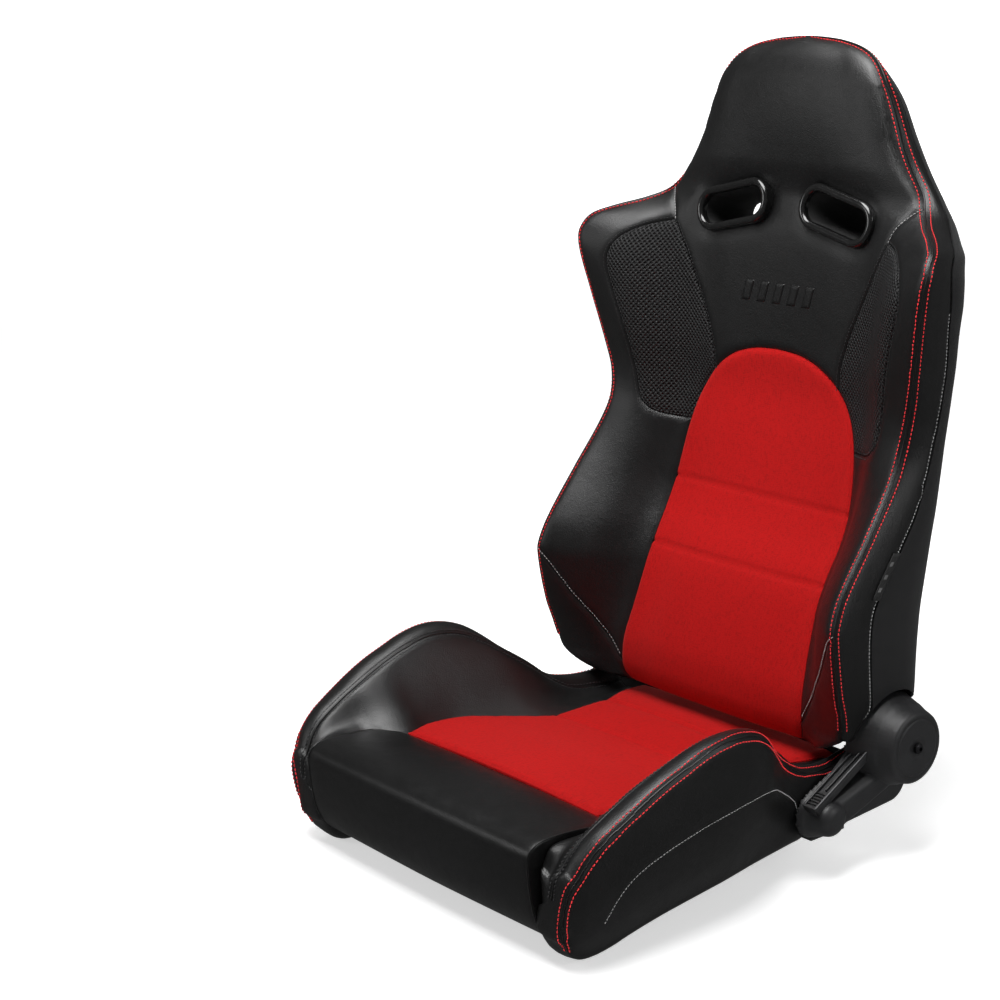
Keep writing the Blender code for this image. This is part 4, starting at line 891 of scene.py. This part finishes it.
for _, s in SIDES:
    bm = bmesh.new()
    bmesh.ops.create_cube(bm, size=1.0)
    low, high = np.array((0.1935, -0.2, -0.2)), np.array((0.40, 0.2, 0.026))
    for v in bm.verts:
        p = low + (np.array(v.co) + 0.5) * (high - low)
        v.co = Vector(back_world(s * p[0], p[1], p[2]))
    room.append(cutter_from(bm, "recliner_room"))
    bm = bmesh.new()
    turn = Matrix.Rotation(math.radians(90), 4, "Y")
    bmesh.ops.create_cone(bm, cap_ends=True, segments=96, radius1=0.061, radius2=0.061, depth=0.2065,
                          matrix=Matrix.Translation((s * 0.29675, PIVOT_Y, PIVOT_Z)) @ turn)
    room.append(cutter_from(bm, "recliner_swing"))
thick = rear.modifiers.new("thick", "SOLIDIFY")
thick.thickness, thick.offset = 0.0028, -1
apply_cut(rear, cutters + room)
rear.data.set_sharp_from_angle(angle=math.radians(50))
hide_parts("rear_cover")
for cutter in cutters + room:
    bpy.data.objects.remove(cutter)

# ---------------------------------------------------------------- cushion
edge_d, top_z = curve(INSERT_X), curve(TOP_Z)
inner_x, inner_z, outer_x, outer_z = curve(INNER_X), curve(INNER_Z), curve(OUTER_X), curve(OUTER_Z)
skirt_x, skirt_z = curve(SKIRT_X), curve(SKIRT_Z)


def cushion_world(x, d, z):
    x, d, z = np.broadcast_arrays(np.asarray(x, float), d, z)
    return np.stack((x, PIVOT_Y - d, z), axis=-1)


def bolster_ring(d):
    ix, iz, ox, oz = float(inner_x(d)), float(inner_z(d)), float(outer_x(d)), float(outer_z(d))
    kx, kz = float(skirt_x(d)), float(skirt_z(d))
    low = float(edge_d(d)) + 0.0006
    low_z = min(float(top_z(d)) - 0.006, iz - 0.006)
    rail = 0.197
    kz = kz if d > 0.115 else 0.038 + (0.115 - d) * 0.35
    if d < 0.115:
        kx = min(kx, ox - 0.004)
    base = 0.0615
    return [(rail, kz + 0.003), (rail, base), (low + 0.002, base), (low, low_z - 0.002), (low + 0.0005, low_z + 0.003),
            ((low + ix) / 2, (low_z + iz) / 2 - 0.004), (ix - (ix - low) * 0.12, iz - (iz - low_z) * 0.10), (ix, iz),
            ((ix + ox) / 2, max(iz, oz) + 0.0045), (ox, oz), (ox + 0.0035, 0.88 * oz + 0.12 * kz),
            (ox + 0.004, 0.62 * oz + 0.38 * kz), ((2 * ox + kx) / 3, 0.30 * oz + 0.70 * kz),
            (kx + 0.003, kz + 0.010), (kx - 0.003, kz)]


def shrink(ring, amount, lift=0.0):
    ring = np.array(ring, float)
    centre = ring.mean(axis=0)
    span = ring - centre
    size = np.linalg.norm(span, axis=1)[:, None]
    return centre + span * np.maximum(0.15, 1 - amount / np.maximum(size, 1e-6)) + [0, lift]


bolsters = {}
for name, s in SIDES:
    rings = []
    for d, amount in ((0.012, 0.010), (0.0145, 0.004)):
        ring = shrink(bolster_ring(0.018), amount)
        rings.append(cushion_world(s * ring[:, 0], d, ring[:, 1]))
    for d in (0.020, 0.042, 0.066, 0.090, 0.115, 0.132, 0.150, 0.168, 0.187, 0.208, 0.230, 0.255, 0.285, 0.315, 0.345,
              0.372, 0.394, 0.416, 0.438, 0.458, 0.474):
        ring = np.array(bolster_ring(d))
        rings.append(cushion_world(s * ring[:, 0], d, ring[:, 1]))
    for d, amount in ((0.4835, 0.0015), (0.4885, 0.0055), (0.4912, 0.0120), (0.4925, 0.0220)):
        ring = shrink(bolster_ring(0.486), amount)
        rings.append(cushion_world(s * ring[:, 0], d, ring[:, 1]))
    piece = skin(f"cushion_bolster_leather_{name}", rings, LEATHER, "base", 5, 5)
    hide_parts(f"cushion_bolster_{name}")
    bolsters[name] = piece

# nose roll
NOSE = [(0.3816, 0.075), (0.3816, 0.118), (0.3822, 0.1235), (0.400, 0.1275), (0.430, 0.1315),
        (0.458, 0.1335), (0.478, 0.1335), (0.490, 0.1310), (0.498, 0.1255), (0.5015, 0.117),
        (0.5005, 0.098), (0.498, 0.078), (0.493, 0.054), (0.486, 0.037), (0.476, 0.025), (0.462, 0.0195),
        (0.446, 0.0205), (0.434, 0.032), (0.425, 0.058), (0.400, 0.062)]
nose_profile = np.array(NOSE)
rings = []
half_nose = [(0.2000, 0.0035), (0.1998, 0.0018), (0.1985, 0.0004), (0.192, 0.0), (0.13, -0.0008), (0.06, -0.0016)]
for x, amount in [(-x, a) for x, a in half_nose] + [(0.0, -0.002)] + half_nose[::-1]:
    ring = shrink(nose_profile, amount)
    ring[:3, 0] = np.maximum(ring[:3, 0], 0.3816)
    rings.append(cushion_world(x, ring[:, 0], ring[:, 1]))
nose = skin("cushion_nose_leather", rings, SMOOTH_LEATHER, "base", 5, 6)
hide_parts("cushion_front_roll")

# seat centre: foam pad below, red cloth on top
rings = []
for d in (-0.0045, -0.0025, 0.004, 0.03, 0.09, 0.13, 0.17, 0.21, 0.25, 0.29, 0.33, 0.36, 0.376, 0.3795, 0.3803):
    tight = {-0.0045: 0.004, -0.0025: 0.0015, 0.3795: 0.0012, 0.3803: 0.003}.get(d, 0.0)
    half, z = float(edge_d(min(d, 0.384))), float(top_z(d))
    ring = [(-half + 0.002, 0.0605), (0, 0.0600), (half - 0.002, 0.0605), (half - 0.001, z - 0.006),
            (half - 0.004, z - 0.002), (half * 0.5, z + 0.0008), (0, z + 0.0015), (-half * 0.5, z + 0.0008),
            (-half + 0.004, z - 0.002), (-half + 0.001, z - 0.006)]
    ring = shrink(ring, tight)
    rings.append(cushion_world(ring[:, 0], d, ring[:, 1]))
pad = skin("cushion_centre_pad", rings, LEATHER, "base", 3, 4)
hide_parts("cushion_center_foam")
seat_d = np.linspace(-0.001, 0.3806, 60)
seat_edge = np.stack((edge_d(np.minimum(seat_d, 0.384)) - 0.0004, seat_d), axis=1)
seat_outline = np.concatenate((seat_edge, mirrored(seat_edge)[::-1]))
SEAT_CHANNELS = (0.170, 0.083)


def lift_seat(flat, inward):
    x, d = flat[:, 0], flat[:, 1]
    half = edge_d(np.minimum(d, 0.384))
    z = top_z(d) + 0.0042 + 0.004 * (1 - (x / half)**2)
    borders = [-0.02] + [c for c in SEAT_CHANNELS[::-1]] + [0.3806]
    for low, high in zip(borders, borders[1:]):
        t = np.clip((d - low) / (high - low), 0, 1)
        z = z + 0.0022 * np.sin(math.pi * t)**0.7
    for level in SEAT_CHANNELS:
        z = z - 0.0030 * np.exp(-((d - level) / 0.0024)**2)
    return cushion_world(x, d, z - inward * 1.3 - 0.0035 * np.exp(-(np.maximum(d, 0) / 0.075)**2))


seat_cloth = panel("cushion_insert_cloth", seat_outline, RED, "base", lift_seat, spacing=0.005, roll=0.003, reach=0.005,
                   outward=(0, 0, 1))
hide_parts("cushion_insert")


flap_x, flap_z = np.meshgrid(np.linspace(-0.2208, 0.2208, 40), np.linspace(0.066, 0.1035, 8))
flap = cushion_world(flap_x, -0.0058 - 0.0008 * np.sin(flap_x * 60) * (flap_z < 0.095), flap_z)
orient(mesh_object("cushion_rear_flap", flap.reshape(-1, 3), grid_faces(8, 40), LINING, "base"), (0, 1, 0))

# ---------------------------------------------------------------- cloth pressure on the leather pads
def puffed(obj, frames=16, pressure=3.0, most=0.004, hold=()):
    """Swells a pad under its own pressure, as stuffed leather does, keeping its seams held, then lays it as mesh."""
    start = coordinates(obj)
    held = obj.vertex_groups.new(name="held")
    near = np.full(len(start), 1e9)
    for line in hold:
        near = np.minimum(near, gap_to(start, np.asarray(line, float), closed=False))
    for i in np.nonzero(near < 0.004)[0]:
        held.add([int(i)], 1.0, "REPLACE")
    modifier = obj.modifiers.new("cloth", "CLOTH")
    settings = modifier.settings
    settings.use_pressure = True
    settings.uniform_pressure_force = pressure
    settings.quality = 4
    settings.mass = 0.3
    settings.tension_stiffness = settings.compression_stiffness = 18
    settings.shear_stiffness = 8
    settings.bending_stiffness = 2.0
    settings.effector_weights.gravity = 0.0
    settings.vertex_group_mass = "held"
    modifier.collision_settings.use_collision = False
    modifier.point_cache.frame_start, modifier.point_cache.frame_end = 1, frames
    scene = bpy.context.scene
    for number in range(1, frames + 1):
        scene.frame_set(number)
    graph = bpy.context.evaluated_depsgraph_get()
    mesh = bpy.data.meshes.new_from_object(obj.evaluated_get(graph))
    flat = np.empty(len(mesh.vertices) * 3, np.float32)
    mesh.vertices.foreach_get("co", flat)
    moved = flat.reshape(-1, 3).astype(float) - start
    obj.modifiers.clear()
    normals = vertex_normals(obj)
    swell = np.clip((moved * normals).sum(axis=1), 0, most)
    ends = np.empty(len(obj.data.edges) * 2, np.int32)
    obj.data.edges.foreach_get("vertices", ends)
    ends = ends.reshape(-1, 2)
    share = np.bincount(ends.ravel(), minlength=len(start))
    fixed = near < 0.004
    for _ in range(60):
        total = sum(np.bincount(ends[:, i], swell[ends[:, 1 - i]], len(start)) for i in (0, 1))
        swell = np.where(fixed, 0, total / np.maximum(share, 1))
    obj.vertex_groups.clear()
    bpy.data.meshes.remove(mesh)
    scene.frame_set(1)
    set_coordinates(obj, start + normals * swell[:, None])


def seam_path(px, pz, low, high, s, foot=None):
    d = np.linspace(low, high, 160)
    line = cushion_world(s * px(d), d, pz(d))
    if foot is not None:
        x, d, z = np.array(foot).T
        line = np.concatenate((line, cushion_world(s * x, d, z)))
    return line


INNER_FOOT = [(0.229, 0.4905, 0.100), (0.226, 0.4925, 0.080), (0.224, 0.492, 0.060), (0.223, 0.490, 0.040),
              (0.222, 0.484, 0.020)]
OUTER_FOOT = [(0.252, 0.4905, 0.095), (0.246, 0.4925, 0.075), (0.242, 0.492, 0.055), (0.239, 0.489, 0.035),
              (0.237, 0.480, 0.016)]
SKIRT_SEAM = [(0.2725, 0.448, 0.045), (0.2745, 0.438, 0.075), (0.2755, 0.420, 0.097),
              (0.2765, 0.385, 0.113), (0.2770, 0.345, 0.124), (0.2765, 0.300, 0.133),
              (0.2750, 0.250, 0.138), (0.270, 0.200, 0.133), (0.262, 0.165, 0.117), (0.250, 0.143, 0.097),
              (0.242, 0.130, 0.070)]
cushion_seams = {}
for name, s in SIDES:
    inner = seam_path(inner_x, inner_z, 0.022, 0.4835, s, INNER_FOOT[:2])
    outer = seam_path(outer_x, outer_z, 0.022, 0.4840, s, OUTER_FOOT)
    cushion_seams[name] = (inner, outer)
    puffed(bolsters[name], hold=(inner, outer))
    groove(bolsters[name], [inner], 0.0016, 0.0030)
    groove(bolsters[name], [outer], 0.0016, 0.0024)
puffed(nose, most=0.003)

# ---------------------------------------------------------------- seams of the cushion
red_rows, dark_rows, white_rows, beads = [], [], [], []
for name, s in SIDES:
    tree = trees([bolsters[name]])
    inner, outer = cushion_seams[name]
    bead, _ = lay_on(tree, inner, 0.0, 0.0002)
    beads.append(bead)
    for offset in (0.0042, -0.0042):
        dark_rows.append(lay_on(tree, inner, offset, 0.0001))
    bead, _ = lay_on(tree, outer, 0.0, -0.0001)
    beads.append(bead)
    for offset in (0.0060, -0.0060):
        red_rows.append(lay_on(tree, outer, offset, 0.0001))
    line = resample(SKIRT_SEAM, per_span=8)
    line = cushion_world(s * line[:, 0], line[:, 1], line[:, 2])
    groove(bolsters[name], [line], 0.0010, 0.0022)
    tree = trees([bolsters[name]])
    white_rows.append(lay_on(tree, line, 0.0, 0.0001))
for _, s in SIDES:
    profile = resample(NOSE[3:17], per_span=4)
    bead = cushion_world(s * 0.1992, profile[:, 0], profile[:, 1])
    beads.append(bead)
cord_along("cushion_piping", beads, 0.0011, BLACK_PIPING, "base")
stitches("cushion_red_stitching", red_rows, RED_THREAD, "base")
stitches("cushion_dark_stitching", dark_rows, DARK_THREAD, "base")
stitches("cushion_grey_stitching", white_rows, WHITE_THREAD, "base", 0.0030, 0.0013, 0.00046)

# ---------------------------------------------------------------- seams of the back
back_tree = trees(soft_back)
red_rows, dark_rows, white_rows, beads = [], [], [], []
for name, s in SIDES:
    w = np.concatenate((np.linspace(0.012, 0.74, 300), ROWS[ROWS > 0.74]))
    crest = back_world(s * crest_x(w), crest_v(w), w)
    bead, _ = lay_on(back_tree, crest, 0.0, 0.0003)
    beads.append(bead)
    for offset in (0.0060, -0.0060):
        red_rows.append(lay_on(back_tree, crest, offset, 0.0001))
    sign = np.array([s, 1.0])

    def on_front(line):
        line = np.asarray(line) * sign
        return back_world(line[:, 0], front(line[:, 0], line[:, 1]) + 0.001, line[:, 1])

    for line in (mesh_inner, mesh_outer):
        for offset in (0.0030, -0.0030):
            dark_rows.append(lay_on(back_tree, on_front(line), offset, 0.0001))
    side_seam = back_world(s * seam_x(w), seam_v(w), w)
    low = w < 0.50
    white_rows.append(lay_on(back_tree, side_seam[low], s * 0.0035, 0.0001))
    white_rows.append(lay_on(back_tree, on_front(lower_seam), -s * 0.003, 0.0001))
    white_rows.append(lay_on(back_tree, on_front(wing_seam), 0.0, 0.0008))
cord_along("back_piping", beads, 0.0010, BLACK_PIPING, "back")
stitches("back_red_stitching", red_rows, RED_THREAD, "back")
stitches("back_dark_stitching", dark_rows, DARK_THREAD, "back", 0.0030, 0.0014, 0.00036)
stitches("back_grey_stitching", white_rows, WHITE_THREAD, "back", 0.0030, 0.0014, 0.00044)

# ---------------------------------------------------------------- harness slot trim
def turned_loops(name, loops, material, body):
    """Closed tube through loops of points, the last joined to the first."""
    count = len(loops[0])
    faces = grid_faces(len(loops), count, True)
    last = (len(loops) - 1) * count
    faces += [(last + j, last + (j + 1) % count, (j + 1) % count, j) for j in range(count)]
    made = faces_outward(mesh_object(name, np.concatenate(loops), faces, material, body))
    made.data.set_sharp_from_angle(angle=math.radians(50))
    return made


REAR_MOUTH = {1: (0.46, 0.015), -1: (0.24, 0.010)}


def slot_loop(s, grow, v, closed_in=0.0):
    """Loop of the harness tunnel at depth v; closed_in is its share of the way to the narrower rear mouth."""
    outline = slot_ring(1, grow, 14)
    tilt = SLOT_TILT
    a = (outline[:, 0] - SLOT_CENTRE[0]) * math.cos(tilt) + (outline[:, 1] - SLOT_CENTRE[1]) * math.sin(tilt)
    b = -(outline[:, 0] - SLOT_CENTRE[0]) * math.sin(tilt) + (outline[:, 1] - SLOT_CENTRE[1]) * math.cos(tilt)
    narrower, outward = REAR_MOUTH[s]
    a = a * (1 - narrower * closed_in) + outward * closed_in
    b = b * (1 - 0.08 * closed_in)
    x = SLOT_CENTRE[0] + a * math.cos(tilt) - b * math.sin(tilt)
    w = SLOT_CENTRE[1] + a * math.sin(tilt) + b * math.cos(tilt)
    return back_world(s * x, v, w)


for name, s in SIDES:
    centre_v = float(front(SLOT_CENTRE[0], SLOT_CENTRE[1]))
    face = centre_v - 0.0045
    bezel = [(-0.0040 + 0.0050 * math.cos(a), face - 0.0048 * math.sin(a)) for a in np.linspace(0, math.pi, 13)]
    bezel += [(-0.0086, face + 0.010), (-0.0050, face + 0.013), (0.0008, face + 0.010)]
    piece = turned_loops(f"slot_bezel_{name}", [slot_loop(s, grow, v) for grow, v in bezel], GLOSS, "back")
    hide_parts(f"slot_sleeve_{name}")
    lining = [(-0.0087, face + 0.004, 0.0), (-0.0088, face + 0.030, 0.3), (-0.0090, 0.056, 1.0), (-0.0060, 0.056, 1.0),
              (-0.0055, face + 0.030, 0.3), (-0.0050, face + 0.006, 0.0)]
    turned_loops(f"slot_lining_{name}", [slot_loop(s, grow, v, share) for grow, v, share in lining], LINING, "back")

# ---------------------------------------------------------------- plain raised bars where the real seat has a name
for number in range(5):
    centre = (number - 2) * 0.0250
    corners = np.array([(-0.0105, -0.0125), (0.0035, -0.0125), (0.0105, 0.0125), (-0.0035, 0.0125)]) + (centre, 0.490)
    panel(f"raised_bar_{number + 1}", corners, LEATHER, "back", lambda flat, inward: lift_front(flat, inward - 0.0011),
          spacing=0.003, roll=0.0011, reach=0.0016, tuck=0.0016)

# ---------------------------------------------------------------- blank woven tag
rows = []
for w in np.linspace(0.168, 0.222, 12):
    share = np.linspace(0.0, 1.0, 6)
    length = float(np.hypot(crest_x(w) - seam_x(w), crest_v(w) - seam_v(w)))
    t = 1.0 - (0.001 + 0.012 * share) / length
    xv = side(t, w + 0 * t)
    rows.append(back_world(xv[:, 0] + 0.0012, xv[:, 1], w))
grid = np.stack(rows)
tag = mesh_object("blank_tag", grid.reshape(-1, 3), grid_faces(*grid.shape[:2]), TAG, "back")
orient(tag, (1, 0, 0))
thick = tag.modifiers.new("thick", "SOLIDIFY")
thick.thickness, thick.offset = 0.0008, 0
apply_modifiers(tag)
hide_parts("side_tag")
marks, faces = [], []
for low, high in ((2, 4), (5, 7), (8, 10)):
    start = len(marks)
    marks += [tuple(grid[r, c] + (0.0006, 0, 0)) for r in range(low, high) for c in (2, 3, 4)]
    faces += [tuple(start + i for i in f) for f in grid_faces(high - low, 3)]
orient(mesh_object("tag_marks", marks, faces, TAG_MARK, "back"), (1, 0, 0))


# ---------------------------------------------------------------- moulded recliner cover and lever
def rounded_height(points, outline, top, radius, slope=3.2):
    """Height of a boss with a rounded rim and drafted sides over the points."""
    depth = gap_to(points, outline) * np.where(inside(points, outline), 1, -1)
    curved = top - radius + np.sqrt(np.clip(radius**2 - (radius - np.clip(depth, 0, radius))**2, 0, None))
    return np.where(depth >= 0, curved, top - radius + slope * depth)


def hull(circles, steps=64):
    """Belt around circles given as (y, z, radius)."""
    cloud = [(y + r * math.cos(2 * math.pi * i / steps), z + r * math.sin(2 * math.pi * i / steps))
             for y, z, r in circles for i in range(steps)]
    cloud = sorted(cloud)

    def half(points):
        out = []
        for p in points:
            while len(out) > 1 and ((out[-1][0] - out[-2][0]) * (p[1] - out[-2][1])
                                    - (out[-1][1] - out[-2][1]) * (p[0] - out[-2][0])) <= 0:
                out.pop()
            out.append(p)
        return out[:-1]
    return np.array(half(cloud) + half(cloud[::-1]))


RIM = 0.2392
step = 0.0011
ys, zs = np.arange(-0.146, 0.066, step), np.arange(-0.098, 0.066, step)
flat = np.array([(y, z) for y in ys for z in zs])
bosses = [(hull([(0, 0, 0.058)]), 0.2480, 0.0030), (hull([(0, 0, 0.0505)]), 0.2760, 0.0060),
          (hull([(0, 0, 0.0440)]), 0.2950, 0.0065), (hull([(0, 0, 0.0335)]), 0.2944, 0.0010),
          (hull([(0.006, -0.030, 0.040), (-0.112, -0.066, 0.0265), (0.012, -0.056, 0.028)]), 0.2475, 0.0035),
          (hull([(-0.022, -0.040, 0.017), (-0.108, -0.0665, 0.020)]), 0.2690, 0.0110),
          (hull([(-0.110, -0.0665, 0.0205)]), 0.2745, 0.0125)]
blend = 0.0013
heights = np.stack([rounded_height(flat, outline, top, radius) for outline, top, radius in bosses])
peak = heights.max(axis=0)
height = peak + blend * np.log(np.exp((heights - peak) / blend).sum(axis=0))
dish = np.exp(-(np.hypot(flat[:, 0], flat[:, 1]) / 0.0125)**8) * 0.0012
height = height - dish
groove_ring = np.exp(-((np.hypot(flat[:, 0], flat[:, 1]) - 0.0345) / 0.0009)**2) * 0.0005
height = np.maximum(height - groove_ring, RIM)
faces = [f for f in grid_faces(len(ys), len(zs)) if max(height[list(f)]) > RIM + 1e-5]
points = np.stack((height, PIVOT_Y + flat[:, 0], PIVOT_Z + flat[:, 1]), axis=1)
used = np.unique(np.array(faces))
index = np.full(len(points), -1)
index[used] = np.arange(len(used))
shell = mesh_object("recliner_shell", points[used], index[np.array(faces)], PLASTIC, "base")
orient(shell, (1, 0, 0))
tuck_edges(shell, 0.002)
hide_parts("recliner_cover_left")


def object_from(bm, name, material):
    """Object made from a bmesh, which it frees."""
    mesh = bpy.data.meshes.new(name)
    bm.to_mesh(mesh)
    bm.free()
    mesh.materials.append(material)
    made = bpy.data.objects.new(name, mesh)
    bpy.context.scene.collection.objects.link(made)
    return made


def block(bm, low, high, matrix):
    """Box between two corners, moved by matrix."""
    made = bmesh.ops.create_cube(bm, size=1.0)
    for v in made["verts"]:
        local = np.array(low) + (np.array(v.co) + 0.5) * (np.array(high) - np.array(low))
        v.co = matrix @ Vector(local)


start, end = Vector((0, PIVOT_Y - 0.046, PIVOT_Z + 0.002)), Vector((0, PIVOT_Y - 0.137, PIVOT_Z - 0.048))
long_way = (end - start).normalized()
up_way = Vector((1, 0, 0)).cross(long_way)
up_way = up_way if up_way.z > 0 else -up_way
blade = Matrix.Translation(start) @ Matrix((Vector((1, 0, 0)), long_way, up_way)).transposed().to_4x4()
bm = bmesh.new()
reach = (end - start).length
block(bm, (0.2446, -0.004, -0.0105), (0.2641, reach, -0.0030), blade)
block(bm, (0.2616, 0.000, -0.0035), (0.2641, reach - 0.001, 0.0012), blade)
block(bm, (0.2540, 0.004, -0.0035), (0.2560, reach - 0.030, 0.0003), blade)
block(bm, (0.2446, 0.000, -0.0035), (0.2468, reach - 0.001, 0.0008), blade)
for number in range(6):
    at = reach - 0.026 + number * 0.0042
    block(bm, (0.2462, at, -0.0035), (0.2622, at + 0.0020, -0.0010), blade)
block(bm, (0.2446, reach - 0.003, -0.0110), (0.2641, reach, 0.0012), blade)
bmesh.ops.recalc_face_normals(bm, faces=bm.faces)
lever = object_from(bm, "release_handle", PLASTIC)
bevel = lever.modifiers.new("bevel", "BEVEL")
bevel.width, bevel.segments = 0.0008, 2
apply_modifiers(lever)
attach(lever, "release")
# thin light grey strip along the top of the outer rib: a painted highlight of the rib's shine
bm = bmesh.new()
block(bm, (0.2634, 0.001, 0.0006), (0.2643, reach - 0.002, 0.0014), blade)
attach(object_from(bm, "handle_rib_highlight", RIB_HIGHLIGHT_PAINT), "release")
arm = hull([(0, 0, 0.016), (-0.049, -0.010, 0.008)])
loops = [np.stack((0 * arm[:, 0] + x, PIVOT_Y + arm[:, 0], PIVOT_Z + arm[:, 1]), axis=1) for x in (0.2431, 0.2461)]
count = len(arm)
caps = [tuple(range(count)), tuple(range(count, 2 * count))[::-1]]
mesh_object("release_hub", np.concatenate(loops), grid_faces(2, count, True) + caps, PLASTIC, "release", False)
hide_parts("release_lever_left")

# ---------------------------------------------------------------- finishes of the carried-over parts
FINISH = {"slot_ring": GLOSS, "base_": PAINT, "seat_spring": STEEL, "back_spring": STEEL, "clock_spring": STEEL,
          "cover_screw": DARK_STEEL, "recliner_cover": PLASTIC, "release_lever": PLASTIC, "recliner_foot": PAINT,
          "recliner_lower_plate": PAINT, "recliner_upper_plate": PAINT, "recliner_lower_gear": STEEL,
          "recliner_upper_gear": STEEL, "sync_rod": STEEL, "back_frame": PAINT, "back_crossbar": PAINT, "side_tag": TAG}
for node_name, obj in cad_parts.items():
    for start, finish in FINISH.items():
        if node_name.startswith(start):
            obj.data.materials.clear()
            obj.data.materials.append(finish)

# ---------------------------------------------------------------- stage, light and camera
def stage_white(name, glow):
    made, tree, shader = new_material(name, (0.9, 0.9, 0.9), 0.8, Emission_Strength=glow)
    tone = node(tree, "ShaderNodeTexNoise", Scale=3.0, Detail=2.0)
    tree.links.new(place_nodes(tree), tone.inputs["Vector"])
    tree.links.new(ramp(tree, tone.outputs["Fac"], [(0.0, (0.88, 0.88, 0.88)), (1.0, (0.92, 0.92, 0.92))]),
                   shader.inputs["Base Color"])
    shader.inputs["Emission Color"].default_value = (1, 1, 1, 1)
    return made


floor = mesh_object("floor", [(-14, -14, -0.0005), (14, -14, -0.0005), (14, 14, -0.0005), (-14, 14, -0.0005)],
                    [(0, 1, 2, 3)], stage_white("studio_floor", 0.55), None, False)
wall = mesh_object("backdrop", [(-9, 1.0, -0.1), (0.5, 9.5, -0.1), (0.5, 9.5, 7), (-9, 1.0, 7)], [(0, 1, 2, 3)],
                   stage_white("studio_wall", 1.0), None, False)
for piece in (floor, wall):
    piece.visible_glossy = False
world = bpy.data.worlds.new("studio")
bpy.context.scene.world = world
world.use_nodes = True
world.node_tree.nodes["Background"].inputs["Color"].default_value = (1, 1, 1, 1)
world.node_tree.nodes["Background"].inputs["Strength"].default_value = 0.10


def area(name, place, target, size, power, height=None):
    light = bpy.data.lights.new(name, "AREA")
    light.energy = power
    light.shape = "RECTANGLE"
    light.size, light.size_y = size, height or size
    obj = bpy.data.objects.new(name, light)
    obj.location = place
    obj.rotation_euler = (Vector(target) - Vector(place)).to_track_quat("-Z", "Y").to_euler()
    bpy.context.scene.collection.objects.link(obj)
    return obj


area("top_softbox", (0.1, -0.5, 2.5), (0, 0.05, 0.3), 1.5, 74)
area("front_softbox", (-1.5, -2.5, 1.5), (0, 0.1, 0.5), 0.8, 11)
area("side_strip", (2.6, 0.9, 1.5), (0.1, 0.15, 0.5), 0.5, 15, 1.4)

azimuth, elevation = math.radians(47.92), math.radians(14.12)
look = Vector((math.sin(azimuth) * math.cos(elevation), -math.cos(azimuth) * math.cos(elevation), math.sin(elevation)))
side_way = Vector((0, 0, 1)).cross(look).normalized()
camera_data = bpy.data.cameras.new("camera")
camera_data.lens, camera_data.sensor_width = 74.965, 36
camera_data.shift_x, camera_data.shift_y = -0.1215, 0.0068
camera = bpy.data.objects.new("camera", camera_data)
turn = Matrix((side_way, look.cross(side_way), look)).transposed().to_4x4()
camera.matrix_world = Matrix.Translation((1.7374, -1.5975, 0.9916)) @ turn
bpy.context.scene.collection.objects.link(camera)
bpy.context.scene.camera = camera
bpy.context.scene.view_settings.view_transform = "Standard"
